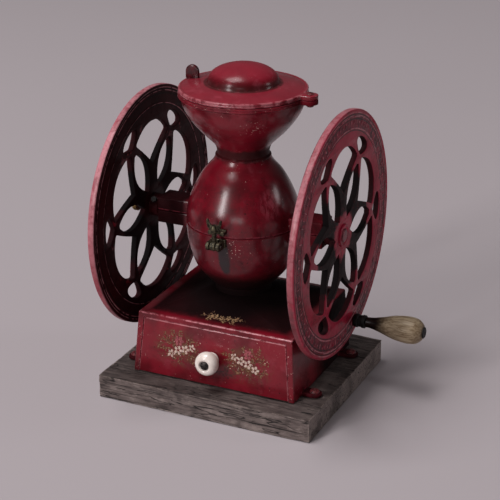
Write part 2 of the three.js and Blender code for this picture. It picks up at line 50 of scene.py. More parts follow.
def span(node):
    """Lowest and highest corner of a CAD node, in millimetres."""
    low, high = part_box(node)
    return low / MM, high / MM


# ------------------------------------------------------------------ sizes
BOARD_LOW, BOARD_HIGH = span("wood_base_board")
WHEEL_LOW, WHEEL_HIGH = span("flywheel_right")
GRIP_LOW, GRIP_HIGH = span("crank_handle")
DRAWER_LOW, DRAWER_HIGH = span("drawer_front")
KNOB_LOW, KNOB_HIGH = span("drawer_knob")
LID_LOW, LID_HIGH = span("lid")
SHAFT_Z = (WHEEL_LOW.z + WHEEL_HIGH.z) / 2
WHEEL_RADIUS = (WHEEL_HIGH.z - WHEEL_LOW.z) / 2
GRIP_X0 = GRIP_LOW.x
CRANK = (0, (GRIP_LOW.y + GRIP_HIGH.y) / 2, (GRIP_LOW.z + GRIP_HIGH.z) / 2)
SHAFT = (0, 0, SHAFT_Z)
KNOB_Z = (KNOB_LOW.z + KNOB_HIGH.z) / 2
KNOB = (0, 0, KNOB_Z)
DRAWER_TOP_HALF = 69.6
DRAWER_PLATE = 4
GAP = 0.15  # half of the gap between the two castings

# The housing leans: these follow its foot and its eaves.
HOUSE_FOOT = (79.5, 66.7, BOARD_HIGH.z + 0.3)
HOUSE_EAVES = (75.6, 62.4, 80.4)
EAVES_EASE = 0.7
DRAWER_Z0 = BOARD_HIGH.z
HOUSE_FRONT = HOUSE_FOOT[1]
LEAN = (HOUSE_FOOT[1] - HOUSE_EAVES[1]) / (HOUSE_EAVES[2] - BOARD_HIGH.z)
WALL = 4.0
COLLAR = (25.6, 95.5)
ROOF_SWEEP = 1.7
BOWL_RADIUS = 51.3
BOWL = [(25.8, 101), (33.5, 108), (42.5, 119.5), (47.4, 133), (50.3, 146), (BOWL_RADIUS, SHAFT_Z)]
SHOULDER = [(BOWL_RADIUS, SHAFT_Z), (50, 174), (45.8, 187), (37, 204), (27.8, 215), (24.7, 220.6)]
FUNNEL = [(23.2, 225.6), (24.4, 230), (27.2, 234.2), (39, 246), (48.4, 258), (53, 267), (55.4, 274.2)]
WAIST_Z = 226
RIM_LOW, RIM_TOP = 275, 279.1
DOME_RADIUS, DOME_BASE, DOME_WALL = 31.5, 287.6, 3

# What stands out from the castings.
ARM_ROOT, ARM_END, ARM_HALF = 48.5, 81, 12
BUSH_START, BUSH_SEAT = 49.7, 9.0
SHAFT_WAY = 6.6
CHUTE_RADIUS = 18
HINGE = (0, 57, SHAFT_Z)
HINGE_RADIUS, HINGE_BORE, HINGE_ROOT = 5, 2.5, 48
KNUCKLE_HALF, EAR_START, EAR_END = 7.6, 8, 16
BOLT_LUG_X, BOLT_LUG_Y, BOLT_LUG_RADIUS, BOLT_LUG_THICK = 90, 44, 6.5, 3.0
LID_LUG_X, LID_LUG_RADIUS, LID_LUG_ROOT = 63, 7, 50

# The wheels' webs stand clear of the arms; their hubs reach in to the bushes.
WEB_MIDDLE, WEB_HALF = 93.3, 2.75
HUB_BORE, HUB_RADIUS = 6.3, 10.5
BEADS = ((109.2, 2.8, 0.45), (104.2, 0.9, 0.3), (94.2, 0.9, 0.3))  # radius, width, height of each
BAND_MIDDLE = 99.4


# ------------------------------------------------------------------ camera, floor, light
def aim(obj, place, target):
    """Stands a camera or a lamp at a place and turns it to look at a target."""
    back = (Vector(place) - Vector(target)).normalized()
    right = Vector((0, 0, 1)).cross(back).normalized()
    turn = Matrix((right, back.cross(right), back)).transposed().to_4x4()
    obj.matrix_world = Matrix.Translation(place) @ turn


def towards(azimuth, elevation):
    """Unit vector from the mill; azimuth 0 is straight in front of the drawer."""
    a, e = radians(azimuth), radians(elevation)
    return Vector((sin(a) * cos(e), -cos(a) * cos(e), sin(e)))


def add_camera():
    lens = bpy.data.cameras.new("camera")
    lens.lens = 109.6
    camera = bpy.data.objects.new("camera", lens)
    bpy.context.scene.collection.objects.link(camera)
    target, distance = Vector((0.0053, 0.0024, 0.1296)), 1.378
    aim(camera, target + distance * towards(24.94, 22.19), target)
    bpy.context.scene.camera = camera


def add_light(name, azimuth, elevation, distance, size, power, colour):
    """A soft box turned to the mill; metres and watts."""
    lamp = bpy.data.lights.new(name, "AREA")
    lamp.shape = "RECTANGLE"
    lamp.size, lamp.size_y = size
    lamp.energy = power
    lamp.color = colour
    obj = bpy.data.objects.new(name, lamp)
    bpy.context.scene.collection.objects.link(obj)
    middle = Vector((0, 0, 0.15))
    aim(obj, middle + distance * towards(azimuth, elevation), middle)


def add_world(colour, strength):
    world = bpy.data.worlds.new("studio")
    bpy.context.scene.world = world
    world.use_nodes = True
    back = world.node_tree.nodes["Background"]
    back.inputs["Color"].default_value = colour
    back.inputs["Strength"].default_value = strength


def add_floor():
    grid = bmesh.new()
    bmesh.ops.create_grid(grid, x_segments=1, y_segments=1, size=30)
    floor = as_object(grid, "floor")
    floor.data.materials.append(backdrop())


# ------------------------------------------------------------------ materials
def srgb(red, green, blue):
    """A colour as it is seen on a screen, 0 to 255, made linear."""
    def linear(c):
        c /= 255
        return c / 12.92 if c <= 0.04045 else ((c + 0.055) / 1.055) ** 2.4
    return (linear(red), linear(green), linear(blue), 1)


class Value:
    """A number or colour that changes over a surface. Arithmetic on it adds nodes."""

    def __init__(self, finish, socket):
        self.finish = finish
        self.socket = socket

    def maths(self, operation, *numbers):
        return self.finish.node("ShaderNodeMath", {"operation": operation}, dict(enumerate(numbers)))

    def __add__(self, other):
        return self.maths("ADD", self, other)

    def __sub__(self, other):
        return self.maths("SUBTRACT", self, other)

    def __rsub__(self, other):
        return self.maths("SUBTRACT", other, self)

    def __mul__(self, other):
        return self.maths("MULTIPLY", self, other)

    def __pow__(self, other):
        return self.maths("POWER", self, other)

    def __abs__(self):
        return self.maths("ABSOLUTE", self)

    __radd__ = __add__
    __rmul__ = __mul__

    def most(self, other):
        return self.maths("MAXIMUM", self, other)

    def least(self, other):
        return self.maths("MINIMUM", self, other)

    def rise(self, low, high):
        """0 below low, 1 above high, smooth between them; high may be the lower one."""
        if low > high:
            return 1 - self.rise(high, low)
        settings = {"interpolation_type": "SMOOTHSTEP"}
        inputs = {"Value": self, "From Min": low, "From Max": high}
        return self.finish.node("ShaderNodeMapRange", settings, inputs)

    def near(self, value, half, soft):
        """1 within half of value, fading over soft."""
        return abs(self - value).rise(half + soft, half)


class Finish:
    """One procedural material. Its patterns are in the piece's own millimetres."""

    def __init__(self, name, **constants):
        self.material = bpy.data.materials.new(name)
        self.material.use_nodes = True
        self.nodes = self.material.node_tree.nodes
        self.links = self.material.node_tree.links
        self.shader = self.nodes["Principled BSDF"]
        for socket, number in constants.items():
            self.shader.inputs[socket.replace("_", " ")].default_value = number
        metres = self.node("ShaderNodeTexCoord", output="Object")
        self.place = self.node("ShaderNodeVectorMath", {"operation": "SCALE"}, {0: metres, "Scale": 1 / MM})
        self.x, self.y, self.z = self.split(self.place)
        self.normal = self.node("ShaderNodeNewGeometry", output="Normal")

    def node(self, kind, settings=None, inputs=None, output=0):
        node = self.nodes.new(kind)
        for key, value in (settings or {}).items():
            setattr(node, key, value)
        for key, value in (inputs or {}).items():
            if isinstance(value, Value):
                self.links.new(value.socket, node.inputs[key])
            else:
                node.inputs[key].default_value = value
        return Value(self, node.outputs[output])

    def split(self, vector):
        node = self.nodes.new("ShaderNodeSeparateXYZ")
        self.links.new(vector.socket, node.inputs[0])
        return [Value(self, socket) for socket in node.outputs]

    def noise(self, size, detail=3.0, rough=0.55, shift=0.0, stretch=(1, 1, 1), warp=0.0):
        """Cloudy pattern whose blotches are about size millimetres across."""
        inputs = {"Vector": self.place, "Location": (shift, 2 * shift, 3 * shift)}
        inputs["Scale"] = tuple(1 / (size * s) for s in stretch)
        place = self.node("ShaderNodeMapping", {}, inputs)
        return self.node("ShaderNodeTexNoise", {}, {"Vector": place, "Scale": 1.0, "Detail": detail,
                                                    "Roughness": rough, "Distortion": warp})

    def mix(self, factor, first, second):
        inputs = {0: factor, 6: first, 7: second}
        return self.node("ShaderNodeMix", {"data_type": "RGBA"}, inputs, 2)

    def edge(self, radius):
        """0 on flat stretches, rising towards 1 at outer and inner corners."""
        eased = self.node("ShaderNodeBevel", {"samples": 6}, {"Radius": radius * MM})
        inputs = {0: eased, 1: self.normal}
        return 1 - self.node("ShaderNodeVectorMath", {"operation": "DOT_PRODUCT"}, inputs, "Value")

    def spot(self, centre, reach):
        """1 at a point, fading to 0 at reach; reach is one number for each axis."""
        inputs = {"Vector": self.place, "Scale": tuple(1 / r for r in reach)}
        inputs["Location"] = tuple(-c / r for c, r in zip(centre, reach))
        local = self.node("ShaderNodeMapping", {}, inputs)
        length = self.node("ShaderNodeVectorMath", {"operation": "LENGTH"}, {0: local}, "Value")
        return (1 - length).most(0.0)

    def use(self, **sockets):
        for socket, value in sockets.items():
            self.links.new(value.socket, self.shader.inputs[socket.replace("_", " ")])
        return self

    def relief(self, height, depth):
        """Bump of the given depth in millimetres."""
        bump = self.node("ShaderNodeBump", {}, {"Strength": 1.0, "Distance": depth * MM, "Height": height})
        return self.use(Normal=bump)


CRIMSON = srgb(124, 14, 32)
CRIMSON_DEEP = srgb(92, 8, 21)
MAROON = srgb(48, 6, 12)
# Near black: soot, pits and dirt, and also the painted shade low on the bowl.
SOOT_AND_SHADE = srgb(17, 8, 8)
ROSE = srgb(152, 60, 74)
WHEEL_RED = srgb(164, 28, 58)
CHIP = srgb(218, 176, 168)
RIB_GREEN = srgb(14, 19, 18)
OLIVE = srgb(88, 62, 40)


class RedPaint(Finish):
    """Old crimson gloss on cast iron: clouded, grimy, rubbed at its edges, chipped."""

    def __init__(self, name, wear=1.0, dust=0.35):
        super().__init__(name, Specular_IOR_Level=0.08, Coat_Roughness=0.22)
        broad = self.noise(34, 2.0, 0.5).rise(0.34, 0.6)
        self.fine = self.noise(5.5, 5.0, 0.62, shift=3.1)
        self.colour = self.mix(broad, CRIMSON_DEEP, CRIMSON)
        bloom = self.noise(13, 4.0, 0.6, shift=7.7, warp=0.6).rise(0.52, 0.74)
        self.colour = self.mix(bloom * dust * self.fine.rise(0.3, 0.6), self.colour, ROSE)
        grime = self.noise(19, 5.0, 0.65, shift=11.3, warp=0.8).rise(0.55, 0.72)
        self.colour = self.mix(grime * 0.42, self.colour, MAROON)
        self.corner = self.edge(1.1).rise(0.02, 0.16)
        rubbed = self.corner * self.fine.rise(0.40, 0.58)
        self.colour = self.mix((rubbed * wear).least(1.0), self.colour, ROSE)
        clusters = self.noise(16, 2.0, 0.5, shift=5.2).rise(0.54, 0.66)
        flecks = self.noise(1.25, 2.0, 0.5, shift=1.4).rise(0.70, 0.74)
        nicks = self.corner * self.noise(2.6, 3.0, 0.6, shift=9.0).rise(0.60, 0.66)
        self.chips = (flecks * clusters).most(nicks)
        pits = self.noise(2.3, 2.0, 0.5, shift=21.0).rise(0.70, 0.74)
        self.colour = self.mix(pits * 0.8, self.colour, SOOT_AND_SHADE)
        self.colour = self.mix(self.chips * wear, self.colour, CHIP)
        self.gloss = self.fine.rise(0.2, 0.8) * 0.16 + 0.30 + grime * 0.12
        shine = self.fine.rise(0.2, 0.7) * 0.3 + 0.6
        self.varnish = (1 - rubbed.least(1.0) * 0.5) * (1 - grime * 0.5) * shine
        self.height = self.fine * 0.5 - self.chips * 0.8 - pits * 0.6

    def tint(self, mask, colour=SOOT_AND_SHADE):
        self.colour = self.mix(mask, self.colour, colour)

    def dull(self, mask):
        """Takes the shine off, as thick dirt does."""
        self.gloss = self.gloss + mask * 0.35
        self.varnish = self.varnish * (1 - mask.least(1.0))

    def broken(self, size=4.0, shift=0.0):
        """Patchy mask that breaks a worn line into dashes."""
        return self.noise(size, 4.0, 0.65, shift=shift).rise(0.40, 0.56)

    def done(self):
        self.use(Base_Color=self.colour, Roughness=self.gloss.least(0.85), Coat_Weight=self.varnish)
        self.relief(self.height, 0.16)
        return self.material


def body_paint(name):
    """The two castings: painted shade, with some soot, in the waist under the funnel's flare, low on the
    bowl and on the arms, the left arm darkest.
    """
    paint = RedPaint(name)
    radius = (paint.x ** 2 + paint.y ** 2) ** 0.5
    ragged = paint.noise(7, 4.0, 0.6, shift=2.0) * 8 - 4
    # Painted shade with some soot: a dark band round the waist, where the funnel's flare shades the neck.
    waist = (paint.z + ragged).near(WAIST_Z, 3, 5) * radius.rise(34, 28)
    bowl = paint.z.rise(WAIST_Z - 14, WAIST_Z - 30) * paint.z.rise(98, 104)
    paint.tint(bowl * (paint.fine.rise(0.3, 0.6) * 0.3 + 0.2), MAROON)
    paint.tint(waist * 0.8, srgb(26, 16, 14))
    paint.dull(waist * 0.8)
    # Painted shade with some soot: the bottom of the bowl and the roof round the collar made near black,
    # where the bowl overhangs them.
    foot = (paint.z + ragged).near(97, 14, 20) * radius.rise(62, 40)
    paint.tint(foot * 0.94)
    paint.dull(foot * 0.9)
    # Painted shade with some soot: the bearing arms darkened, the left arm most, as it lies in shade.
    arms = abs(paint.x).rise(BOWL_RADIUS - 0.3, BOWL_RADIUS + 4.7) * paint.z.rise(SHAFT_Z - 20, SHAFT_Z - 14)
    paint.tint(arms * (paint.x.rise(40, -40) * 0.5 + 0.42), srgb(24, 4, 6))
    paint.dull(arms * 0.95)
    return paint


def base_paint():
    """The lower casting: painted shade making the roof and right wall near black and darkening the lugs, a
    stain under the catch, and a pale line at the eaves, partly wear and partly painted highlight.
    """
    paint = body_paint("base_crimson")
    ragged = paint.noise(6, 5.0, 0.7, shift=41.0) * 1.2 - 0.6
    stain = (paint.spot((4.0, -47.0, 139.0), (7.5, 22.0, 24.0)) + ragged * 0.5).rise(0.12, 0.45)
    paint.tint(stain * 0.86, srgb(24, 32, 34))
    scratches = paint.noise(1.8, 3.0, 0.6, shift=42.0).rise(0.62, 0.67)
    paint.tint(paint.spot((13.0, -48.0, 152.0), (10.0, 20.0, 16.0)).rise(0.0, 0.5) * scratches, CHIP)
    eaves_z = HOUSE_EAVES[2]
    # Painted shade with some grime: the roof under the bowl made near black, all but a ragged strip at the
    # front.
    roof = paint.z.rise(eaves_z - 0.1, eaves_z + 1.2) * paint.z.rise(COLLAR[1] + 10.5, COLLAR[1] + 2.5)
    roof = roof * (paint.y + ragged * 8).rise(-64, -50)
    paint.tint(roof * 0.95, srgb(13, 3, 4))
    paint.dull(roof)
    front = paint.y + LEAN * (DRAWER_Z0 - paint.z) + HOUSE_FRONT
    on_front = front.rise(1.5, 0.8)
    # Painted highlight, broken into dashes like rubbed paint: a pale line where the eased front edge of the
    # eaves catches the light.
    eaves = paint.z.near(eaves_z - 0.5, 0.35, 0.35) * paint.y.rise(-55, -60) * paint.broken(5, 51.0)
    paint.tint(eaves * 0.8, srgb(196, 118, 126))
    specks = paint.noise(1.5, 3.0, 0.6, shift=52.0).rise(0.66, 0.70)
    beside = abs(paint.x).rise(DRAWER_TOP_HALF + 0.9, DRAWER_TOP_HALF + 2.9)
    paint.tint(on_front * beside * specks, CHIP)
    splashes = paint.noise(8, 4.0, 0.6, shift=17.0).rise(0.4, 0.6)
    paint.tint(paint.z.rise(HOUSE_FOOT[2] + 13.3, HOUSE_FOOT[2] + 0.3) * splashes * 0.75)
    # Painted shade: the right wall, turned away from the light, made near black with a green cast.
    right_wall = paint.split(paint.normal)[0].rise(0.8, 0.95) * (paint.y + ragged * 10).rise(-25, 5)
    right_wall = right_wall * paint.z.rise(eaves_z + 3.6, eaves_z + 0.6)
    paint.tint(right_wall * 0.9, srgb(10, 14, 13))
    paint.dull(right_wall)
    # Painted shade: the lugs out at the foot darkened, as they lie in the wheels' shadow.
    lugs = abs(paint.x).rise(HOUSE_FOOT[0] + 0.3, HOUSE_FOOT[0] + 1.1) * paint.z.rise(40, 36)
    paint.tint(lugs * 0.75, srgb(30, 8, 12))
    paint.dull(lugs)
    return paint.done()


def hopper_paint():
    """The upper casting: a painted reflection of a light on its right shoulder, streaked like scuffs,
    chipped below the rim, worn at the seam.
    """
    paint = body_paint("hopper_crimson")
    # Painted reflection: a pale patch on the right shoulder where a light on the right reflects, streaked
    # like scratches.
    scuffed_reflection = paint.spot((36.0, -24.0, 186.0), (13.0, 16.0, 20.0)).rise(0.05, 0.7)
    scratch = paint.noise(6, 5.0, 0.7, shift=4.4, stretch=(0.5, 0.5, 2.2)).rise(0.42, 0.6)
    paint.tint(scuffed_reflection * scratch * 0.7, ROSE)
    chips = paint.noise(1.6, 3.0, 0.6, shift=44.0).rise(0.61, 0.66)
    paint.tint(paint.spot((24.0, -30.0, 262.0), (16.0, 22.0, 12.0)).rise(0.0, 0.5) * chips, CHIP)
    seam = paint.z.near(SHAFT_Z + 1.0, 0.5, 0.5) * paint.broken(3, 45.0)
    paint.tint(seam * 0.5, ROSE)
    return paint.done()


def lid_paint():
    """Faded and dusty on top and lighter where it faces up, partly as painted top light, with painted shade
    and some dirt in the moat round the dome, a painted highlight at the rim and painted shade low on the
    dome.
    """
    paint = RedPaint("lid_crimson", dust=0.9)
    radius = (paint.x ** 2 + paint.y ** 2) ** 0.5
    # Lighter where the lid faces up: partly fade and dust, partly painted top light.
    up = paint.split(paint.normal)[2].rise(0.5, 0.95)
    paint.tint(up * (0.42 + paint.fine * 0.3), srgb(150, 46, 60))
    # Painted shade with some dirt: dark in the hollow round the dome.
    moat = radius.near(DOME_RADIUS + 1.3, 0.8, 2.2) * paint.noise(6, 3.0, 0.6).rise(0.2, 0.5)
    paint.tint(moat * 0.75, srgb(40, 24, 20))
    paint.dull(moat * 0.5)
    # Painted highlight, broken like wear: a pale line round the rim where its edge catches the light.
    edge = radius.near(LID_HIGH.y - 0.6, 0.6, 0.4) * paint.broken(6, 53.0)
    paint.tint(edge * 0.6, srgb(190, 112, 120))
    dome = radius.rise(DOME_RADIUS + 0.5, DOME_RADIUS - 0.5)
    paint.varnish = paint.varnish * (1 - dome * 0.45)
    # Painted shade: the dome darker low on its side, near its base.
    paint.tint(dome * paint.z.rise(DOME_BASE + 9.4, DOME_BASE + 1.4) * 0.6, srgb(66, 10, 16))
    return paint.done()


def wheel_paint():
    """Red rim and hub, dark green-grey ribs, worn rings near the edge, painted shade on the inner faces and
    in the holes, and a painted highlight with wear round the rim's outside.
    """
    paint = RedPaint("wheel_crimson", wear=1.1, dust=0.6)
    out = abs(paint.x)
    up = paint.z - SHAFT_Z
    radius = (paint.y ** 2 + up ** 2) ** 0.5
    outer_face, inner_face = WEB_MIDDLE + WEB_HALF - 0.05, WEB_MIDDLE - WEB_HALF
    faded = paint.noise(22, 3.0, 0.55, shift=60.0).rise(0.36, 0.62)
    paint.tint(out.rise(outer_face - 2, outer_face) * (faded * 0.45 + 0.5), WHEEL_RED)
    clouds = paint.noise(7, 5.0, 0.7, shift=68.0, warp=0.8).rise(0.5, 0.66)
    paint.tint(clouds * 0.6, srgb(52, 9, 18))
    wobble = paint.noise(9, 3.0, 0.6, shift=6.0) * 10 - 5
    ribs = (radius + wobble).near(39, 15.0, 7.0)
    smeared = paint.noise(3.5, 5.0, 0.7, shift=66.0).rise(0.3, 0.62) * 0.5 + 0.5
    paint.tint((ribs * 1.5 * smeared).least(0.97), RIB_GREEN)
    paint.dull(ribs * 0.75)
    grimy = paint.noise(9, 4.0, 0.65, shift=8.0, warp=1.0).rise(0.42, 0.58)
    band = radius.near(BAND_MIDDLE + 0.1, 5.8, 0.5) * out.rise(outer_face - 1, outer_face)
    paint.tint(band * (grimy * 0.5 + 0.3), srgb(46, 12, 22))
    paint.varnish = paint.varnish * 0.22
    raised = band * out.rise(outer_face + 0.1, outer_face + 0.4) * paint.broken(5, 61.0)
    paint.tint(raised * 0.9, srgb(200, 128, 136))
    # Painted shade: the inner face, turned away from the light, made near black, but for worn patches at the
    # ends of the ribs.
    inside = out.rise(inner_face + 0.85, inner_face + 0.35)
    worn_ribs = paint.noise(12, 3.0, 0.6, shift=63.0).rise(0.60, 0.66) * radius.near(66, 14, 6)
    paint.tint(inside * (1 - worn_ribs) * 0.88, srgb(24, 4, 6))
    paint.dull(inside * (1 - worn_ribs) * 0.75)
    # Painted shade: the walls of the holes through the web made dark.
    walls = out.near(WEB_MIDDLE, WEB_HALF - 0.45, 0.4) * radius.rise(WHEEL_RADIUS - 2, WHEEL_RADIUS - 4)
    walls = walls * radius.rise(HUB_RADIUS + 1.5, HUB_RADIUS + 3.5)
    paint.tint(walls * 0.9, srgb(16, 12, 13))
    paint.dull(walls)
    grooves = radius.near(106.4, 0.5, 0.3).most(radius.near(92.4, 0.4, 0.3))
    paint.tint(grooves.most(radius.near(102.4, 0.35, 0.3)) * 0.85)
    rings = radius.near(107.8, 0.3, 0.25).most(radius.near(105.2, 0.3, 0.25))
    rings = rings.most(radius.near(93.6, 0.25, 0.2))
    paint.tint(rings * paint.broken(9, 64.0) * 0.75, srgb(190, 128, 134))
    # Partly wear, partly painted highlight: the rim's outside pale in streaks and patches, strongest high up
    # and on the left wheel.
    patch = paint.noise(40, 2.0, 0.5, shift=65.0).rise(0.35, 0.65) * 0.5 + 0.2
    streaks = paint.noise(5, 4.0, 0.65, shift=67.0).rise(0.34, 0.6) * 0.55 + 0.15
    upper = paint.z.rise(100, 210) * 0.4 + 0.15
    tread = radius.rise(WHEEL_RADIUS - 0.6, WHEEL_RADIUS - 0.3) * (streaks + patch) * upper
    paint.tint((tread * (paint.x.rise(60, -60) * 0.5 + 1)).least(0.95), srgb(198, 134, 142))
    return paint.done()


def drawer_paint():
    """The drawer's face: a painted highlight along its top and side edges, broken like rubbed paint, with
    olive smudges about the flowers.
    """
    paint = RedPaint("drawer_crimson", dust=0.3)
    left = paint.spot((-36, -64, 52), (32, 30, 24)).rise(0.05, 0.6)
    right = paint.spot((32, -64, 49), (34, 30, 24)).rise(0.05, 0.6)
    under = paint.spot((6, -64, 36), (26, 30, 14)).rise(0.1, 0.7)
    smudge = paint.noise(6, 5.0, 0.7, shift=31.0, warp=1.4).rise(0.44, 0.6)
    paint.tint(left.most(right) * smudge * 0.7, OLIVE)
    paint.tint(under * smudge.most(0.35) * 0.85, srgb(40, 14, 14))
    # Painted highlight, broken into patches like wear: pale lines where the eased top and side edges catch
    # the light.
    top = paint.z.rise(DRAWER_HIGH.z - 1.3, DRAWER_HIGH.z - 0.7) * paint.broken(6, 54.0)
    narrowing = 0.094
    side = abs(paint.x) + narrowing * (paint.z - DRAWER_Z0)
    side = side.rise(DRAWER_HIGH.x - 1.0, DRAWER_HIGH.x - 0.4) * paint.broken(3, 55.0)
    paint.tint((top * 0.8).most(side * 0.6), srgb(192, 120, 126))
    return paint.done()


def dark_paint():
    """Nearly black maroon, on the tab that lifts the lid."""
    paint = RedPaint("tab_maroon", wear=0.6)
    paint.tint(paint.fine.rise(0.3, 0.66) * 0.4 + 0.45, srgb(30, 6, 10))
    return paint.done()


def metal(name, light, dark, size=3.0, gloss=0.42, metallic=0.9, rub=None):
    """Aged metal: two tones in blotches, brighter where hands rub the corners."""
    finish = Finish(name, Metallic=metallic, Specular_IOR_Level=0.35)
    blotch = finish.noise(size, 5.0, 0.6).rise(0.35, 0.65)
    colour = finish.mix(blotch, dark, light)
    fine = finish.noise(size / 4, 3.0, 0.6, shift=4.0)
    if rub:
        colour = finish.mix(finish.edge(0.5).rise(0.03, 0.2) * fine.rise(0.35, 0.6), colour, rub)
    finish.use(Base_Color=colour, Roughness=blotch * 0.16 + gloss)
    finish.relief(fine, 0.05)
    return finish.material


def machined(name, light, dark, centre, axis):
    """Turned metal under old paint: fine rings about its axis."""
    finish = Finish(name, Metallic=0.4)
    across = [(finish.x, finish.y, finish.z)[k] - centre[k] for k in range(3) if k != axis]
    radius = (across[0] ** 2 + across[1] ** 2) ** 0.5
    rings = finish.node("ShaderNodeMath", {"operation": "SINE"}, {0: radius * 9.0})
    blotch = finish.noise(4, 4.0, 0.6).rise(0.4, 0.6)
    finish.use(Base_Color=finish.mix(blotch, dark, light), Roughness=blotch * 0.15 + 0.3)
    finish.relief(rings, 0.02)
    return finish.material


def board_wood():
    """Weathered softwood: grain along X, cracks, pale rubbed edges, soaked patches, darker on top as painted
    shade with dirt, and lighter on faces turned to the right as painted light.
    """
    finish = Finish("weathered_board", Specular_IOR_Level=0.3)
    grain = finish.noise(3.2, 6.0, 0.7, stretch=(11, 1, 1), warp=0.8)
    rings = finish.noise(11, 4.0, 0.6, shift=5.0, stretch=(7, 1, 1.4), warp=1.5)
    mottle = finish.noise(8, 6.0, 0.7, shift=23.0, stretch=(2.2, 1, 1))
    colour = finish.mix(grain.rise(0.3, 0.68), srgb(80, 69, 66), srgb(120, 107, 103))
    colour = finish.mix(rings.rise(0.45, 0.7) * 0.35, colour, srgb(66, 54, 52))
    colour = finish.mix(mottle.rise(0.50, 0.68) * 0.6, colour, srgb(150, 136, 130))
    colour = finish.mix(mottle.rise(0.47, 0.34) * 0.5, colour, srgb(38, 31, 30))
    facing = finish.split(finish.normal)
    # Painted shade with some dirt: the top darker, where the mill and wheels shade it.
    colour = finish.mix(facing[2].rise(0.6, 0.95) * 0.5, colour, srgb(46, 36, 34))
    # Painted light: faces turned to the right made lighter.
    colour = finish.mix(facing[0].rise(0.5, 0.9) * 0.6, colour, srgb(150, 138, 132))
    damp = finish.noise(30, 4.0, 0.6, shift=9.0).rise(0.5, 0.66)
    colour = finish.mix(damp * 0.5, colour, srgb(40, 32, 31))
    rub = finish.edge(2.2).rise(0.01, 0.12) * finish.noise(5, 4.0, 0.65, shift=3.0).rise(0.38, 0.56)
    colour = finish.mix(rub * 0.85, colour, srgb(146, 132, 124))
    crack = finish.noise(6, 3.0, 0.5, shift=15.0, stretch=(16, 1, 1), warp=0.8).near(0.5, 0.004, 0.012)
    colour = finish.mix(crack * 0.9, colour, srgb(14, 11, 10))
    finish.use(Base_Color=colour, Roughness=grain * 0.2 + 0.62)
    finish.relief(grain * 0.6 + rings * 0.5 + mottle * 0.8 - crack * 1.4, 0.6)
    return finish.material


def grip_wood():
    """Turned grip: dark old varnish at the neck, worn pale over the bulb."""
    finish = Finish("grip_wood", Specular_IOR_Level=0.22)
    grain = finish.noise(1.6, 5.0, 0.6, stretch=(12, 1, 1), warp=0.5)
    along = (finish.x - GRIP_X0) + finish.noise(7, 3.0, 0.6) * 14 - 7
    worn = along.rise(8, 27)
    pale = finish.mix(grain.rise(0.35, 0.65), srgb(124, 104, 80), srgb(172, 155, 128))
    dark = finish.mix(grain.rise(0.35, 0.65), srgb(9, 5, 4), srgb(26, 13, 10))
    colour = finish.mix(worn, dark, pale)
    nicks = finish.noise(2.2, 3.0, 0.6, shift=8.0, stretch=(3, 1, 1)).rise(0.64, 0.7)
    colour = finish.mix(nicks * 0.7, colour, srgb(70, 46, 30))
    end = along.rise(44, 56)
    colour = finish.mix(end * 0.6, colour, srgb(96, 74, 50))
    finish.use(Base_Color=colour, Roughness=grain * 0.2 + 0.28)
    finish.relief(grain - nicks * 0.6, 0.08)
    return finish.material


def glaze():
    """Stoneware glaze, crazed and a little stained."""
    finish = Finish("ceramic_glaze", Coat_Weight=0.6, Coat_Roughness=0.08, IOR=1.52)
    tone = finish.noise(8, 3.0, 0.5).rise(0.3, 0.7)
    colour = finish.mix(tone, srgb(232, 218, 208), srgb(248, 238, 230))
    craze = finish.node("ShaderNodeTexVoronoi", {"feature": "DISTANCE_TO_EDGE"},
                        {"Vector": finish.place, "Scale": 0.28})
    lines = craze.rise(0.02, 0.0) * finish.noise(5, 2.0, 0.5, shift=2.0).rise(0.45, 0.6)
    stain = finish.noise(2.4, 4.0, 0.6, shift=6.0).rise(0.62, 0.74)
    colour = finish.mix((lines * 0.5).most(stain * 0.4), colour, srgb(140, 112, 96))
    finish.use(Base_Color=colour, Roughness=tone * 0.1 + 0.16)
    finish.relief(tone, 0.06)
    return finish.material


def transfer(name, light, dark, keep=0.42):
    """Old painted decoration, thinned and rubbed away in places."""
    finish = Finish(name, IOR=1.45)
    fine = finish.noise(1.1, 3.0, 0.6)
    colour = finish.mix(fine.rise(0.35, 0.6), dark, light)
    left = finish.noise(2.2, 4.0, 0.6, shift=5.0).rise(keep, keep + 0.08)
    finish.use(Base_Color=colour, Roughness=fine * 0.2 + 0.4, Alpha=left)
    return finish.material


def backdrop():
    """Plain pale floor."""
    finish = Finish("studio_floor", Roughness=0.9)
    cloud = finish.noise(900, 2.0, 0.5)
    finish.use(Base_Color=finish.mix(cloud, srgb(176, 168, 171), srgb(182, 174, 177)))
    return finish.material


# ------------------------------------------------------------------ shapes
TURN_TO = {
    "X": Matrix(((0, 0, 1, 0), (1, 0, 0, 0), (0, 1, 0, 0), (0, 0, 0, 1))),
    "-Y": Matrix(((1, 0, 0, 0), (0, 0, -1, 0), (0, 1, 0, 0), (0, 0, 0, 1))),
    "Z": Matrix.Identity(4),
}


def curve_through(points, count):
    """Smooth curve through (radius, height) points, as count even steps of them."""
    last = len(points) - 1
    found = []
    for step in range(count + 1):
        place = step / count * last
        k = min(int(place), last - 1)
        t = place - k
        p0, p1, p2, p3 = (Vector(points[min(max(k + j, 0), last)]) for j in (-1, 0, 1, 2))
        even = 2 * p1 + (p2 - p0) * t
        bent = (2 * p0 - 5 * p1 + 4 * p2 - p3) * t ** 2 + (3 * p1 - p0 - 3 * p2 + p3) * t ** 3
        found.append(tuple((even + bent) / 2))
    return found


def wall_inside(points, wall):
    """The same outline moved inwards by the wall's thickness."""
    found = []
    for k, point in enumerate(points):
        along = Vector(points[min(k + 1, len(points) - 1)]) - Vector(points[max(k - 1, 0)])
        along.normalize()
        found.append((point[0] - wall * along.y, point[1] + wall * along.x))
    return found


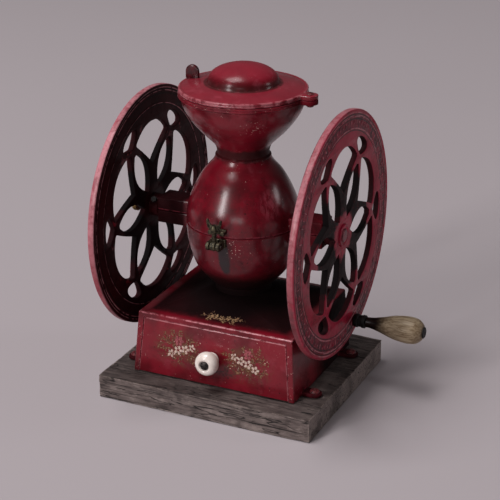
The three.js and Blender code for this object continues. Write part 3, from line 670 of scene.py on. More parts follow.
def turned(profile, axis="Z", at=(0, 0, 0), steps=64, ring=False):
    """A solid turned from (radius, height) points, its heights along the axis."""
    bm = bmesh.new()
    verts = [bm.verts.new((r, 0, h)) for r, h in profile]
    pairs = list(zip(verts, verts[1:]))
    if ring:
        pairs.append((verts[-1], verts[0]))
    edges = [bm.edges.new(pair) for pair in pairs]
    bmesh.ops.spin(bm, geom=verts + edges, cent=(0, 0, 0), axis=(0, 0, 1), angle=2 * pi,
                   steps=steps, use_merge=True)
    bmesh.ops.remove_doubles(bm, verts=bm.verts, dist=1e-4)
    bmesh.ops.recalc_face_normals(bm, faces=bm.faces)
    bmesh.ops.transform(bm, matrix=Matrix.Translation(at) @ TURN_TO[axis], verts=bm.verts)
    return bm


def rod(radius, start, end, axis="Z", at=(0, 0, 0), ease=0.4, steps=40):
    """A round bar with eased ends."""
    low, high = min(start, end), max(start, end)
    profile = [(0, low), (radius - ease, low), (radius, low + ease),
               (radius, high - ease), (radius - ease, high), (0, high)]
    return turned(profile, axis, at, steps)


def bore(radius, start, end, axis="Z", at=(0, 0, 0), steps=40):
    """A square-ended bar, for cutting a round hole."""
    return rod(radius, start, end, axis, at, 0.01, steps)


def tongue_outline(root, middle, radius, steps):
    """A tongue of even width from its root, rounded about its middle."""
    turns = [pi / 2 - pi * k / steps for k in range(steps + 1)]
    return [(root, -radius), (root, radius)] + [(middle + radius * cos(a), radius * sin(a)) for a in turns]


def rounded(bm, offset, segments=2):
    """Rounds every sharp edge."""
    edges = [e for e in bm.edges if len(e.link_faces) == 2 and e.calc_face_angle() > radians(25)]
    bmesh.ops.bevel(bm, geom=edges, offset=offset, offset_type="OFFSET", segments=segments,
                    profile=0.5, affect="EDGES", material=-1, clamp_overlap=True)
    return bm


def tapered(bottom, top):
    """A block whose bottom and top rectangles differ: (x0, x1, y0, y1, z) each."""
    bm = bmesh.new()
    bmesh.ops.create_cube(bm, size=2)
    for v in bm.verts:
        x0, x1, y0, y1, z = bottom if v.co.z < 0 else top
        v.co = (x0 if v.co.x < 0 else x1, y0 if v.co.y < 0 else y1, z)
    return bm


def block(x0, x1, y0, y1, z0, z1, ease=0.0, segments=2):
    bm = tapered((x0, x1, y0, y1, z0), (x0, x1, y0, y1, z1))
    return rounded(bm, ease, segments) if ease else bm


def plate(outline, thick, axis="Z", at=(0, 0, 0), ease=0.0):
    """A flat outline given a thickness along the axis, its edges rounded."""
    bm = bmesh.new()
    face = bm.faces.new([bm.verts.new((u, v, 0)) for u, v in outline])
    grown = bmesh.ops.extrude_face_region(bm, geom=[face])
    risen = [v for v in grown["geom"] if isinstance(v, bmesh.types.BMVert)]
    bmesh.ops.translate(bm, vec=(0, 0, thick), verts=risen)
    bmesh.ops.recalc_face_normals(bm, faces=bm.faces)
    if ease:
        rounded(bm, ease)
    bmesh.ops.transform(bm, matrix=Matrix.Translation(at) @ TURN_TO[axis], verts=bm.verts)
    return bm


def stacked(outlines):
    """Skins closed outlines of equal counts, one above another, and closes both ends."""
    bm = bmesh.new()
    loops = []
    for outline in outlines:
        verts = [bm.verts.new(p) for p in outline]
        loops.append([bm.edges.new(pair) for pair in zip(verts, verts[1:] + verts[:1])])
        if outline in (outlines[0], outlines[-1]):
            bm.faces.new(verts)
    for low, high in zip(loops, loops[1:]):
        bmesh.ops.bridge_loops(bm, edges=low + high)
    bmesh.ops.remove_doubles(bm, verts=bm.verts, dist=0.01)
    bmesh.ops.dissolve_degenerate(bm, edges=bm.edges, dist=0.01)
    bmesh.ops.recalc_face_normals(bm, faces=bm.faces)
    return bm


def together(*solids):
    """Several solids as one mesh."""
    whole = solids[0]
    for solid in solids[1:]:
        mesh = bpy.data.meshes.new("part")
        solid.to_mesh(mesh)
        solid.free()
        whole.from_mesh(mesh)
        bpy.data.meshes.remove(mesh)
    return whole


def as_object(bm, name="shape"):
    mesh = bpy.data.meshes.new(name)
    bm.to_mesh(mesh)
    bm.free()
    obj = bpy.data.objects.new(name, mesh)
    bpy.context.scene.collection.objects.link(obj)
    return obj


def finished_mesh(obj):
    """The object's mesh with its modifiers applied."""
    bpy.context.view_layer.update()
    shown = obj.evaluated_get(bpy.context.evaluated_depsgraph_get())
    bm = bmesh.new()
    bm.from_mesh(shown.to_mesh())
    return bm


def carved(solid, *tools):
    """The first solid with the others cut out of it."""
    whole = as_object(solid)
    cutters = [as_object(tool) for tool in tools]
    for cutter in cutters:
        cut = whole.modifiers.new("cut", "BOOLEAN")
        cut.object = cutter
        cut.operation = "DIFFERENCE"
        cut.solver = "MANIFOLD"
    bm = finished_mesh(whole)
    for obj in [whole, *cutters]:
        bpy.data.objects.remove(obj)
    return bm


def place(name, bm, body, finish, slot, *stands_for, sharp=32):
    """Puts a solid made in millimetres into the scene as one piece that rides on a body."""
    bmesh.ops.scale(bm, vec=(MM, MM, MM), verts=bm.verts)
    obj = as_object(bm, name)
    obj.data.materials.append(finish)
    obj.data.shade_smooth()
    obj.data.set_sharp_from_angle(angle=radians(sharp))
    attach(obj, body)
    if stands_for:
        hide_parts(*stands_for)
    return obj


# ------------------------------------------------------------------ board
def make_board():
    low, high = BOARD_LOW, BOARD_HIGH
    bm = block(low.x + 0.4, high.x - 0.4, low.y + 0.4, high.y - 0.4, low.z, high.z)
    bmesh.ops.subdivide_edges(bm, edges=bm.edges[:], cuts=30, use_grid_fill=True)
    rim = [e for e in bm.edges if len(e.link_faces) == 2 and e.calc_face_angle() > 1]
    bmesh.ops.bevel(bm, geom=rim, offset=1.1, offset_type="OFFSET", segments=3, profile=0.5,
                    affect="EDGES", material=-1, clamp_overlap=True)
    obj = as_object(bm)
    for strength, scale in ((1.5, 14.0), (0.9, 4.0)):
        texture = bpy.data.textures.new("rough_sawn", "CLOUDS")
        texture.noise_scale = scale
        worn = obj.modifiers.new("worn", "DISPLACE")
        worn.texture = texture
        worn.strength = strength
        worn.mid_level = 0.75
        worn.texture_coords = "LOCAL"
    bm = finished_mesh(obj)
    bpy.data.objects.remove(obj)
    for v in bm.verts:
        v.co.z = min(max(v.co.z, low.z), high.z)
        v.co.x = min(max(v.co.x, low.x), high.x)
        v.co.y = min(max(v.co.y, low.y), high.y)
    place("board", bm, "frame", board_wood(), "board_wood", "wood_base_board", sharp=60)


# ------------------------------------------------------------------ castings
def rectangle(half_x, half_y, corner, z, steps=8):
    """Rectangle with rounded corners, as a closed outline."""
    points = []
    for quarter in range(4):
        cx = (half_x - corner) * (1, -1, -1, 1)[quarter]
        cy = (half_y - corner) * (1, 1, -1, -1)[quarter]
        for step in range(steps + 1):
            a = (quarter + step / steps) * pi / 2
            points.append((cx + corner * cos(a), cy + corner * sin(a), z))
    return points


def housing_outlines(grow, foot):
    """Leaning walls, eaves, then a hollow-curved roof up to the round collar."""
    half_x, half_y, _ = HOUSE_FOOT
    top_x, top_y, eaves = HOUSE_EAVES
    rows = [rectangle(half_x + grow, half_y + grow, 1.2, foot)]
    rows.append(rectangle(top_x + grow, top_y + grow, 1.2, eaves - EAVES_EASE + grow))
    top_x -= EAVES_EASE
    top_y -= EAVES_EASE
    rows.append(rectangle(top_x + grow, top_y + grow, 1.0, eaves + grow))
    radius, high = COLLAR
    count = 12
    for step in range(1, count + 1):
        t = step / count
        z = eaves + (high - eaves) * t ** ROOF_SWEEP + grow
        corner = 1.0 + (radius - 1.0) * t ** 2
        width = top_x + grow + (radius - top_x) * t
        depth = top_y + grow + (radius - top_y) * t
        rows.append(rectangle(width, depth, corner, z))
    return rows


def arm(side, z0, z1):
    """Half of a bearing arm, with its half of the seat for the bush."""
    x0, x1 = sorted((side * ARM_ROOT, side * ARM_END))
    seat = bore(BUSH_SEAT, side * BUSH_START, side * (ARM_END + 9), "X", SHAFT, 48)
    hole = bore(SHAFT_WAY, side * (ARM_ROOT - 8.5), side * (ARM_ROOT + 11.5), "X", SHAFT, 48)
    return carved(block(x0, x1, -ARM_HALF, ARM_HALF, z0, z1, 1.3, 3), seat, hole)


def knuckle(x0, x1, z0, z1):
    """One barrel of the back hinge, and the web that joins it to the bowl."""
    barrel = rod(HINGE_RADIUS, x0, x1, "X", HINGE, 0.5, 40)
    web = block(x0, x1, HINGE_ROOT, HINGE[1], z0, z1)
    ends = (-EAR_END - 4, EAR_END + 4)
    return together(*[carved(solid, bore(HINGE_BORE, *ends, "X", HINGE, 32)) for solid in (barrel, web)])


def bolt_lug(side_x, side_y):
    """A rounded foot with a hole, reaching out from the wall."""
    outline = tongue_outline(-2 * BOLT_LUG_RADIUS, 0, BOLT_LUG_RADIUS, 16)
    at = (side_x * BOLT_LUG_X, side_y * BOLT_LUG_Y, HOUSE_FOOT[2])
    tongue = plate([(side_x * u, v) for u, v in outline], BOLT_LUG_THICK, "Z", at, 0.7)
    return carved(tongue, bore(2.5, 10, 40, "Z", (at[0], at[1], 0), 24))


def housing():
    """Hollow, open underneath and in front for the drawer, and at the top for the coffee."""
    foot = HOUSE_FOOT[2]
    wide, narrow = DRAWER_HIGH.x + 0.5, DRAWER_TOP_HALF + 0.5
    front, back = -80, -50
    doorway = tapered((-wide, wide, front, back, foot - 1),
                      (-narrow, narrow, front, back, DRAWER_HIGH.z + 0.5))
    return carved(stacked(housing_outlines(0, foot)), stacked(housing_outlines(-WALL, foot - 5)),
                  doorway, bore(CHUTE_RADIUS, 60, 120, steps=48))


def base_casting():
    seam = SHAFT_Z - GAP
    outer = [(COLLAR[0], 92)] + curve_through(BOWL, 40)[:-1] + [(50.9, seam - 0.4), (50.6, seam)]
    inner = [(BOWL_RADIUS - WALL, seam)] + wall_inside(curve_through(BOWL, 24), WALL)[-2:2:-1]
    inner += [(CHUTE_RADIUS, 108), (CHUTE_RADIUS, 92)]
    bowl = carved(turned(outer + inner, steps=96, ring=True), bore(SHAFT_WAY, -60, 60, "X", SHAFT))
    parts = [housing(), bowl]
    parts += [arm(side, SHAFT_Z - ARM_HALF, seam) for side in (-1, 1)]
    parts += [bolt_lug(side_x, side_y) for side_x in (-1, 1) for side_y in (-1, 1)]
    ears = ((-EAR_END, -EAR_START), (EAR_START, EAR_END))
    parts += [knuckle(x0, x1, SHAFT_Z - 6, seam) for x0, x1 in ears]
    return together(*parts)


def lid_lug(z0, z1, ease):
    """The ear at the right of the rim or of the lid, with a hole for the lid's pin."""
    outline = tongue_outline(LID_LUG_ROOT, LID_LUG_X, LID_LUG_RADIUS, 20)
    hole = bore(2.4, z0 - 5, z1 + 5, "Z", (LID_LUG_X, 0, 0), 24)
    return carved(plate(outline, z1 - z0, "Z", (0, 0, z0), ease), hole)


def hopper_casting():
    seam = SHAFT_Z + GAP
    outer = [(50.6, seam), (50.9, seam + 0.4)] + curve_through(SHOULDER, 40)[1:]
    outer += [(24.9, 221.3), (24.8, 222.1), (23.9, 222.8), (23.3, 223.6)]
    outer += curve_through(FUNNEL, 44)
    outer += [(56.4, 274.9), (57.0, 275.4), (57.2, 276.2), (56.7, 276.9), (57.2, 277.5), (57.2, 278.5),
              (56.8, RIM_TOP)]
    inner_top = wall_inside(curve_through(FUNNEL, 24), WALL)
    inner_low = wall_inside(curve_through(SHOULDER, 24), WALL)
    inner = [(51.6, RIM_TOP)] + inner_top[::-1] + inner_low[:1:-1] + [(BOWL_RADIUS - WALL, seam)]
    shell = carved(turned(outer + inner, steps=112, ring=True), bore(SHAFT_WAY, -60, 60, "X", SHAFT))
    arms = [arm(side, seam, SHAFT_Z + ARM_HALF) for side in (-1, 1)]
    barrel = knuckle(-KNUCKLE_HALF, KNUCKLE_HALF, seam, SHAFT_Z + HINGE_RADIUS)
    return together(shell, *arms, lid_lug(RIM_LOW, RIM_TOP, 0.6), barrel)


def make_castings():
    place("base", base_casting(), "frame", base_paint(), "red_paint", "base_casting")
    place("hopper", hopper_casting(), "hopper", hopper_paint(), "red_paint", "hopper_casting")


# ------------------------------------------------------------------ lid
def make_lid():
    low, high = LID_LOW, LID_HIGH
    rise = high.z - DOME_BASE
    dome = [(DOME_RADIUS * cos(a), DOME_BASE + rise * sin(a) ** 0.92) for a in
            [pi / 2 * k / 26 for k in range(1, 26)]]
    hollow = DOME_RADIUS - DOME_WALL
    inside = [(hollow * cos(a), DOME_BASE + (rise - DOME_WALL) * sin(a)) for a in
              [pi / 2 * k / 16 for k in range(16)]]
    plate_top = [(56.2, low.z), (56.8, 280.0), (56.8, 280.9), (56.4, 281.3), (56.8, 281.7), (56.8, 282.7),
                 (56.2, 283.4), (54.6, 283.7), (53.9, 283.4), (53.2, 283.8), (36.6, 286.5), (33.4, 286.8),
                 (32.1, 287.2)]
    profile = [(0, high.z - DOME_WALL)] + inside[::-1] + [(hollow, 284.2), (49, 280.4), (50.5, low.z)]
    profile += plate_top + dome + [(0, high.z)]
    lid = together(turned(profile, steps=112), lid_lug(low.z, low.z + 4, 0.6))
    place("lid_cover", lid, "lid", lid_paint(), "red_paint", "lid")
    outline = [(-6.2, 284.2), (6.2, 284.2)]
    outline += [(6.2 * cos(a), 290.6 + 6.2 * sin(a)) for a in [pi * k / 20 for k in range(21)]]
    tab = plate(outline, 3.7, "-Y", (-49.2, 1.85, 0), 0.8)
    place("thumb_tab", tab, "lid", dark_paint(), "dark_red_paint", "lid_thumb_tab")
    pin = turned([(0, 272.6), (2.7, 272.6), (3.3, 273.2), (3.3, 274.7), (2.1, 274.7), (2.1, 283.7),
                  (3.4, 283.7), (3.2, 284.3), (2.2, 285), (0, 285.2)], at=(LID_LUG_X, 0, 0), steps=32)
    place("lid_pin", pin, "hopper", PAINTED_IRON, "iron", "lid_pivot_pin")


# ------------------------------------------------------------------ flywheels
def arc_of(points, count=10):
    """Points along a Bezier curve with two to four control points."""
    found = []
    for step in range(count):
        t = step / count
        row = [Vector(p) for p in points]
        while len(row) > 1:
            row = [a.lerp(b, t) for a, b in zip(row, row[1:])]
        found.append(tuple(row[0]))
    return found


def mirrored(half):
    """A half outline and its mirror image below, as one closed outline."""
    return half + [(u, -v) for u, v in half[:0:-1]]


def petal():
    """Long leaf-shaped hole; six of them make the star."""
    return mirrored(arc_of([(17, 0), (43, 22.6), (66, 0)], 26)[:26])


def shield():
    """Wide hole between two petals, curved along the rim."""
    inner, corner, shoulder, outer = (39.7, 0), (63, 28.6), (67.5, 28), (80, 0)
    side = arc_of([inner, (52, 13), corner]) + arc_of([corner, (65, 31), shoulder], 6)
    return mirrored(side + arc_of([shoulder, (80, 16), outer]) + [outer])


def teardrop():
    """Small hole at the tip of each petal."""
    shoulder, outer = (80, 11.8), (88.8, 0)
    side = arc_of([(73, 0), (76, 7.5), shoulder]) + arc_of([shoulder, (84, 16.5), (88.8, 11), outer], 14)
    return mirrored(side + [outer])


def pierced_disc(radius, thick, ease):
    """The wheel's web as a filled outline with holes, its edges rounded."""
    curve = bpy.data.curves.new("wheel", "CURVE")
    curve.dimensions = "2D"
    curve.fill_mode = "BOTH"
    curve.extrude = thick / 2 - ease
    curve.bevel_depth = ease
    curve.bevel_resolution = 2
    curve.offset = -ease
    steps = 160
    outlines = [[(radius * cos(a), radius * sin(a)) for a in [2 * pi * k / steps for k in range(steps)]]]
    for sixth in range(6):
        for outline, turn in ((petal(), 0), (shield(), pi / 6), (teardrop(), 0)):
            a = sixth * pi / 3 + turn
            outlines.append([(u * cos(a) - v * sin(a), u * sin(a) + v * cos(a)) for u, v in outline])
    for outline in outlines:
        spline = curve.splines.new("POLY")
        spline.points.add(len(outline) - 1)
        spline.use_cyclic_u = True
        for point, (u, v) in zip(spline.points, outline):
            point.co = (u, v, 0, 1)
    obj = bpy.data.objects.new("wheel", curve)
    bpy.context.scene.collection.objects.link(obj)
    bm = finished_mesh(obj)
    bpy.data.objects.remove(obj)
    bmesh.ops.remove_doubles(bm, verts=bm.verts, dist=0.01)
    bmesh.ops.recalc_face_normals(bm, faces=bm.faces)
    return bm


def bead(radius, width, height):
    """A half-round ring standing on the wheel's face, as a closed profile."""
    top = [(radius + width / 2 * cos(a), height * sin(a)) for a in [pi * k / 8 for k in range(9)]]
    return turned([(radius + width / 2, -0.6)] + top + [(radius - width / 2, -0.6)], steps=160, ring=True)


def ornament(face):
    """Worn raised bars and lozenges in turn round the rim."""
    whole = bmesh.new()
    count, high = 96, 0.55
    bar, short_bar, lozenge = (3.4, 0.62), (2.2, 0.5), (1.4, 1.2)
    for k in range(count):
        long, wide = (bar, short_bar, bar, lozenge)[k % 4]
        turn = Matrix.Rotation(2 * pi * k / count, 4, "Z")
        stand = turn @ Matrix.Translation((BAND_MIDDLE, 0, face)) @ Matrix.Diagonal((long, wide, high, 1))
        bmesh.ops.create_icosphere(whole, subdivisions=1, radius=1, matrix=stand)
    return whole


def web(side):
    """The pierced disc with its beads on both faces and the worn ornament outside."""
    solids = [pierced_disc(WHEEL_RADIUS, 2 * WEB_HALF, 0.75)]
    for face in (-1, 1):
        for radius, width, height in BEADS:
            ring = bead(radius, width, height)
            bmesh.ops.scale(ring, vec=(1, 1, face), verts=ring.verts)
            bmesh.ops.translate(ring, vec=(0, 0, face * WEB_HALF), verts=ring.verts)
            bmesh.ops.recalc_face_normals(ring, faces=ring.faces)
            solids.append(ring)
    whole = together(*solids, ornament(side * WEB_HALF))
    stand = Matrix.Translation((side * WEB_MIDDLE, 0, SHAFT_Z)) @ TURN_TO["X"]
    bmesh.ops.transform(whole, matrix=stand, verts=whole.verts)
    return whole


def hub(side):
    """The boss on the shaft, with a turned ring round its outer end."""
    start, end = WHEEL_LOW.x, WHEEL_HIGH.x
    outline = [(HUB_BORE, start), (9.9, start), (HUB_RADIUS, start + 0.6), (HUB_RADIUS, end - 0.9),
               (9.9, end - 0.2), (9.2, end), (8.3, end - 0.1), (7.6, end - 0.5), (HUB_BORE, end - 0.5)]
    return turned([(r, side * x) for r, x in outline], "X", SHAFT, 48, ring=True)


def make_wheels():
    finish = wheel_paint()
    for side, name in ((-1, "left"), (1, "right")):
        wheel = together(web(side), hub(side))
        place(f"wheel_{name}", wheel, "rotor", finish, "red_paint", f"flywheel_{name}", sharp=40)


# ------------------------------------------------------------------ shaft, crank and adjuster
def make_shaft():
    low, high = span("drive_shaft")
    tapped = bore(3.0, low.x - 19, low.x + 14, "X", SHAFT, 24)
    shaft = carved(rod((high.z - low.z) / 2, low.x, high.x, "X", SHAFT, 0.9, 48), tapped)
    steel = machined("shaft_steel", srgb(136, 70, 78), srgb(80, 24, 32), SHAFT, 0)
    place("shaft", shaft, "rotor", steel, "steel", "drive_shaft")


def make_crank():
    """The iron stud, with a collar against the wheel, and the wooden grip that turns on it."""
    low, high = span("crank_spindle")
    wheel_face, collar, grip_start, pin, bolt = 96.8, 6.3, 107.5, 3, 162.5
    stud = [(0, low.x), (2.4, low.x), (pin, 85.2), (pin, wheel_face), (6, wheel_face), (collar, 97.6),
            (collar, 99.8), (5.5, 100.6), (5.5, 103.6), (6.1, 104.4), (6.1, 106.8), (5.4, grip_start),
            (pin, grip_start), (pin, bolt), (5.2, bolt), (5.2, 163.1), (4.4, 163.7), (1.6, high.x),
            (1.4, 163.5), (0, 163.5)]
    place("spindle", turned(stud, "X", CRANK, 40), "rotor", BLACK_IRON, "iron", "crank_spindle")
    bulb = curve_through([(4.7, 0), (5.2, 6), (7.6, 16), (10.8, 27), (12.3, 39), (11.4, 48), (8, 53),
                          (5.4, 54.4)], 48)
    hole = 3.4
    profile = [(hole, GRIP_X0), (4.3, GRIP_X0)] + [(r, GRIP_X0 + along) for r, along in bulb[1:]]
    grip = turned(profile + [(hole, GRIP_HIGH.x)], "X", CRANK, 56, ring=True)
    place("grip_handle", grip, "grip", grip_wood(), "grip_wood", "crank_handle")


def dress_rotor():
    """The screws, nut, worm and burr that turn with the shaft keep their CAD shapes."""
    for name in ("wheel_set_screw_left", "wheel_set_screw_right"):
        dress(name, BLACK_IRON)
    for name in ("crank_nut", "adjuster_lock_nut", "feed_worm"):
        dress(name, IRON)
    dress("running_burr", STEEL)


def make_adjuster():
    """Round knob with cut ribs, turned by the fingers to set the grind."""
    low, high = span("adjuster_screw")
    end, back, radius, count = low.x, low.x + 5.8, 8.2, 32
    outline = [(0, end), (radius - 1, end), (radius, end + 0.8), (radius, back - 0.8), (radius - 1, back)]
    knob = turned(outline + [(0, back)], "X", SHAFT, 64)
    ribs = bmesh.new()
    for k in range(count):
        a = 2 * pi * k / count
        spot = (end + 2.9, (radius - 0.1) * cos(a), SHAFT_Z + (radius - 0.1) * sin(a))
        stand = Matrix.Translation(spot) @ Matrix.Rotation(a + pi / 4, 4, "X")
        bmesh.ops.create_cube(ribs, size=1, matrix=stand @ Matrix.Diagonal((3.8, 0.7, 0.7, 1)))
    screw = rod(2.5, back - 0.8, high.x, "X", SHAFT, 0.3, 28)
    brass = metal("dull_brass", srgb(84, 64, 38), srgb(34, 24, 15), 3, 0.42, 0.9, srgb(150, 122, 76))
    place("adjuster_knob", together(knob, ribs, screw), "adjuster", brass, "brass", "adjuster_screw")


# ------------------------------------------------------------------ drawer
def front_matrix():
    """From flat (across, up, out) on the drawer's face to the leaning front."""
    up = Vector((0, LEAN, 1)).normalized()
    out = Vector((0, -1, LEAN)).normalized()
    turn = Matrix((Vector((1, 0, 0)), up, out)).transposed().to_4x4()
    return Matrix.Translation((0, -HOUSE_FRONT, DRAWER_Z0)) @ turn


def drawer_row(half, z):
    """Corners of the drawer's front at one height, following the housing's lean."""
    front = -HOUSE_FRONT + LEAN * (z - DRAWER_Z0)
    return (-half, half, front, front + DRAWER_PLATE, z)


def make_drawer():
    low, high = DRAWER_LOW, DRAWER_HIGH
    front = rounded(tapered(drawer_row(high.x, low.z), drawer_row(DRAWER_TOP_HALF, high.z)), 0.7, 3)
    hole = bore(2.4, 40, 90, "-Y", KNOB, 24)
    place("drawer_face", carved(front, hole), "drawer", drawer_paint(), "red_paint", "drawer_front")
    profile = [(2.4, 65.4), (6.0, 65.4), (6.4, 65.8), (6.2, 67.0), (6.0, 68.6), (6.8, 70.2), (9.3, 71.9),
               (10.5, 73.8), (10.8, 76.2), (10.7, 78.4), (9.9, 80.6), (8.6, 82.1), (7.2, 82.9),
               (5.6, 83.0), (4.9, 82.6), (4.6, 81.6), (4.4, 81.2), (2.4, 81.2)]
    knob = turned(profile, "-Y", KNOB, 64, ring=True)
    place("knob_pull", knob, "drawer", glaze(), "ceramic", "drawer_knob")
    head = [(0, 54), (2.1, 54), (2.1, 81.3), (3.9, 81.3), (4.0, 82.0), (3.4, 82.7), (2.2, 83.1), (0, 83.2)]
    slot = block(-5, 5, -84, -82.2, KNOB_Z - 0.6, KNOB_Z + 0.6)
    dark_steel = metal("dark_steel", srgb(82, 76, 74), srgb(34, 30, 29), 2, 0.4, 0.8)
    screw = carved(turned(head, "-Y", KNOB, 40), slot)
    place("knob_bolt", screw, "drawer", dark_steel, "steel", "knob_screw")
    dress("knob_nut", STEEL)
    tin = metal("tinplate", srgb(118, 112, 106), srgb(74, 66, 60), 9, 0.4, 0.85, srgb(160, 154, 146))
    dress("drawer_tray", tin)


# ------------------------------------------------------------------ painted flowers
def leaf(bm, at, length, width, angle, lift):
    """A flat oval that starts at a point and lies along an angle."""
    stand = Matrix.Translation((at[0], at[1], lift)) @ Matrix.Rotation(angle, 4, "Z")
    stand = stand @ Matrix.Translation((length / 2, 0, 0)) @ Matrix.Diagonal((length / 2, width / 2, 1, 1))
    bmesh.ops.create_circle(bm, cap_ends=True, segments=8, radius=1, matrix=stand)


def flower(bm, at, size, petals, lift):
    """Round petals about an open middle."""
    for k in range(petals):
        a = 2 * pi * k / petals
        root = (at[0] + 0.22 * size * cos(a), at[1] + 0.22 * size * sin(a))
        leaf(bm, root, 0.85 * size, 0.62 * size, a, lift + 0.01 * (k % 2))


def spray(bm, start, end, bend, leaves, size, dice):
    """A curved stem with small leaves of uneven sizes in pairs."""
    a, b = Vector(start), Vector(end)
    side = Vector((-(b - a).y, (b - a).x)) * bend
    stem = arc_of([a, (a + b) / 2 + side, b], leaves)
    for k, (u, v) in enumerate(stem):
        along = atan2(b.y - a.y, b.x - a.x) + bend * (4 - 8 * k / leaves)
        leaf(bm, (u, v), (b - a).length / leaves * 1.3, 0.35, along, 0.05)
        for hand in (-1, 1):
            long = size * dice.uniform(0.6, 1.1)
            leaf(bm, (u, v), long, size * 0.38, along + hand * dice.uniform(0.5, 1.0), 0.06)


def painted(name, bm, matrix, body, finish):
    """Flat shapes given the thickness of a coat of paint and laid on a surface."""
    grown = bmesh.ops.extrude_face_region(bm, geom=bm.faces[:])
    risen = [v for v in grown["geom"] if isinstance(v, bmesh.types.BMVert)]
    bmesh.ops.translate(bm, vec=(0, 0, 0.06), verts=risen)
    bmesh.ops.recalc_face_normals(bm, faces=bm.faces)
    bmesh.ops.transform(bm, matrix=matrix, verts=bm.verts)
    place(name, bm, body, finish, "red_paint")


def roof_height(y):
    """Height of the front of the roof, which sweeps up from the eaves to the collar."""
    depth = HOUSE_EAVES[1] - EAVES_EASE
    t = (depth + y) / (depth - COLLAR[0])
    return HOUSE_EAVES[2] + (COLLAR[1] - HOUSE_EAVES[2]) * max(t, 0.0) ** ROOF_SWEEP


def bouquet(hand, dice):
    """Four small blossoms in a curved row, a rose above them, and leaves all round."""
    blossoms, foliage, blooms = bmesh.new(), bmesh.new(), bmesh.new()
    middle = Vector((hand * 33, 30))
    for u, v, size in ((-12, 2.5, 3.5), (-5.5, 0, 4.2), (1.5, -2, 4.3), (8.5, -6, 3.8)):
        flower(blossoms, (middle.x + hand * u, middle.y + v), size, 5, 0.12)
    for _ in range(16):
        spot = (middle.x + hand * dice.uniform(-20, 22), middle.y + dice.uniform(-13, 12))
        leaf(blossoms, spot, 0.8, 0.8, 0, 0.1)
    rose = (middle.x + hand, middle.y + 7)
    flower(blooms, rose, 4.8, 6, 0.09)
    flower(blooms, rose, 3.0, 5, 0.13)
    for k in range(13):
        angle = 2 * pi * k / 13 + dice.uniform(-0.15, 0.15)
        start = (middle.x + 5 * cos(angle), middle.y + 3 * sin(angle))
        far = dice.uniform(0.75, 1.05)
        end = (middle.x + 25 * far * cos(angle), middle.y + 1 + 16 * far * sin(angle))
        spray(foliage, start, end, dice.uniform(-0.25, 0.25), 7, 3.4, dice)
    return blossoms, foliage, blooms


def make_decoration():
    """Two bunches of blossom on the drawer and a sprig on the roof above it."""
    cream = transfer("flower_cream", srgb(222, 200, 186), srgb(160, 118, 108), 0.36)
    gold = transfer("leaf_gold", srgb(140, 104, 72), srgb(88, 54, 38), 0.46)
    rose = transfer("rose_pink", srgb(172, 88, 94), srgb(112, 36, 48), 0.36)
    straw = transfer("blossom_straw", srgb(156, 126, 88), srgb(104, 70, 50), 0.42)
    on_front = front_matrix()
    dice = random.Random(5)
    for hand, name in ((-1, "left"), (1, "right")):
        blossoms, foliage, blooms = bouquet(hand, dice)
        painted(f"drawer_blossoms_{name}", blossoms, on_front, "drawer", cream)
        painted(f"drawer_leaves_{name}", foliage, on_front, "drawer", gold)
        painted(f"drawer_rose_{name}", blooms, on_front, "drawer", rose)
    sprig, buds = bmesh.new(), bmesh.new()
    stems = ((4, (26, -49), 0.15), (4, (-18, -50), -0.15), (2, (18, -45), -0.2),
             (2, (-10, -45), 0.2), (6, (16, -56), 0.2), (0, (-12, -55), -0.2))
    for start, end, bend in stems:
        spray(sprig, (start, -51), end, bend, 6, 3.2, dice)
    for u, v in ((2, -50), (8, -48.5), (-4, -48.5), (5, -53), (14, -50), (-9, -51)):
        flower(buds, (u, v), 2.6, 5, 0.12)
    for name, shape, finish in (("roof_sprig", sprig, gold), ("roof_blossoms", buds, straw)):
        bmesh.ops.subdivide_edges(shape, edges=shape.edges[:], cuts=1)
        for v in shape.verts:
            v.co.z += roof_height(v.co.y)
        painted(name, shape, Matrix.Identity(4), "frame", finish)


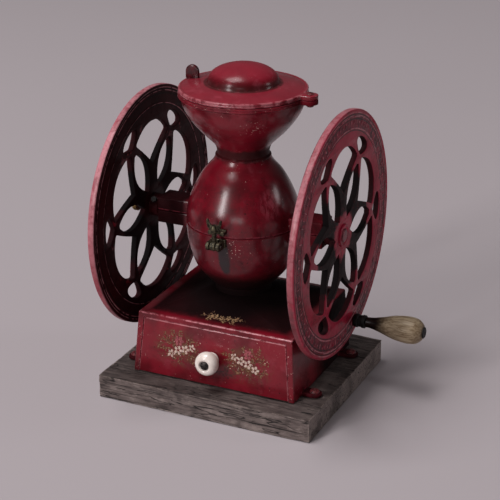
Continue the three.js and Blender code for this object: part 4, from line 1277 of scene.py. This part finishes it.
# ------------------------------------------------------------------ latch
def make_latch():
    """Clevis on the bowl, fork on the hopper, and the eye bolt with its wing nut between them."""
    pin_y, pin_z, bolt_y = -61, 155.5, -59.6
    fork_low, fork_top, bolt_top = 164, 168, 173
    ears = []
    for x0, x1 in ((-6.4, -3.2), (3.2, 6.4)):
        ears.append(rod(4, x0, x1, "X", (0, pin_y, pin_z), 0.6, 32))
        ears.append(block(x0, x1, pin_y, -49.5, pin_z - 3.8, pin_z + 3.6, 0.5))
    backing = block(-7.4, 7.4, -53.2, -48.6, pin_z - 4, SHAFT_Z - 0.6, 0.8)
    place("clevis", together(backing, *ears), "frame", LATCH, "latch_bronze", "latch_clevis")
    prongs = [block(x0, x1, -57, -48, fork_low, fork_top, 0.7) for x0, x1 in ((-7.5, -3.3), (3.3, 7.5))]
    root = block(-7.5, 7.5, -52.4, -46, fork_low - 0.4, fork_top + 0.4, 0.7)
    place("fork", together(root, *prongs), "hopper", LATCH, "latch_bronze", "latch_fork")
    eye = rod(3.9, -2.6, 2.6, "X", (0, pin_y, pin_z), 0.8, 32)
    bolt = rod(2.0, pin_z + 1, bolt_top, "Z", (0, bolt_y, 0), 0.3, 24)
    place("eye_bolt", together(eye, bolt), "latch", LATCH, "latch_bronze", "swing_bolt")
    profile = [(0, 168.4), (3.0, 168.4), (3.5, 168.9), (3.6, 170.8), (3.2, 173), (2.2, 174.6), (0, 175.2)]
    boss = turned(profile, at=(0, bolt_y, 0), steps=32)
    outline = [(2, 170.2), (4.2, 170.5), (5.9, 172.0), (6.9, 175.2), (7.4, 178.4), (6.9, 179.8), (6.0, 180),
               (5.2, 178.8), (4.4, 176.2), (3.2, 174.9), (2, 174.4)]
    wings = []
    for hand in (-1, 1):
        wings.append(plate([(hand * u, v) for u, v in outline], 2.0, "-Y", (0, bolt_y + 1, 0), 0.55))
    place("wing", together(boss, *wings), "wing", LATCH, "latch_bronze", "wing_nut")
    dress("latch_pin", IRON)


# ------------------------------------------------------------------ fasteners and inner pieces
def dress(node, material):
    """A CAD part whose shape is right gets its finish."""
    obj = nodes[node]
    obj.data.materials.clear()
    obj.data.materials.append(material)


def make_fasteners():
    """Slotted screws through the lugs, each turned its own way, and the pieces inside the mill."""
    top = HOUSE_FOOT[2] + BOLT_LUG_THICK + 0.3
    for name in ("front_left", "back_left", "front_right", "back_right"):
        low, high = span(f"lug_screw_{name}")
        at = ((low.x + high.x) / 2, (low.y + high.y) / 2, 0)
        head = turned([(0, low.z), (2, low.z + 3), (2, top), (4.6, top), (4.6, top + 0.5), (4.0, top + 1.6),
                       (2.6, top + 2.4), (0, high.z)], at=at, steps=32)
        slot = block(-5, 5, -0.5, 0.5, high.z - 0.9, high.z + 1)
        turn = Matrix.Translation(at) @ Matrix.Rotation(0.4 + at[0] * at[1], 4, "Z")
        bmesh.ops.transform(slot, matrix=turn, verts=slot.verts)
        place(f"screw_{name}", carved(head, slot), "frame", PAINTED_IRON, "iron", f"lug_screw_{name}")
    for name in ("bearing_bush_left", "bearing_bush_right"):
        dress(name, BUSH)
    for name in ("fixed_burr", "burr_screw_front", "burr_screw_back"):
        dress(name, STEEL)
    dress("hinge_pin", IRON)


# ------------------------------------------------------------------ finishes that several pieces share
IRON = metal("aged_iron", srgb(74, 66, 62), srgb(36, 30, 28), 4, 0.45, 0.85, srgb(128, 118, 110))
BLACK_IRON = metal("black_iron", srgb(14, 11, 11), srgb(6, 5, 5), 4, 0.5, 0.2, srgb(58, 50, 48))
PAINTED_IRON = metal("painted_screw", srgb(112, 40, 44), srgb(52, 16, 20), 2.5, 0.4, 0.2,
                     srgb(176, 120, 116))
STEEL = metal("worn_steel", srgb(160, 152, 148), srgb(86, 78, 76), 4, 0.34, 0.95, srgb(200, 196, 190))
LATCH = metal("aged_bronze", srgb(92, 84, 66), srgb(26, 26, 22), 2.2, 0.36, 0.8, srgb(186, 176, 150))
BUSH = metal("bush_brass", srgb(140, 110, 66), srgb(70, 50, 30), 3, 0.35, 0.95, srgb(190, 160, 104))

# ------------------------------------------------------------------ build
add_camera()
make_board()
make_castings()
make_lid()
make_wheels()
make_shaft()
make_crank()
dress_rotor()
make_adjuster()
make_drawer()
make_decoration()
make_latch()
make_fasteners()

add_floor()
# Azimuth, elevation and distance of each lamp, then its size, power and colour.
add_light("key", -22.6, 22, 6.0, (0.95, 2.5), 160, (1.0, 0.97, 0.975))
add_light("top", -50, 72, 6.0, (3.0, 3.0), 248, (1.0, 0.97, 0.98))
add_light("side", 112, 16, 5.0, (0.9, 1.3), 22, (1.0, 0.95, 0.98))
add_light("low_front", 12, 7, 6.0, (2.6, 0.9), 26, (1.0, 0.97, 0.98))
add_world(colour=(0.62, 0.58, 0.60, 1), strength=0.12)
bpy.context.scene.view_settings.view_transform = "Standard"
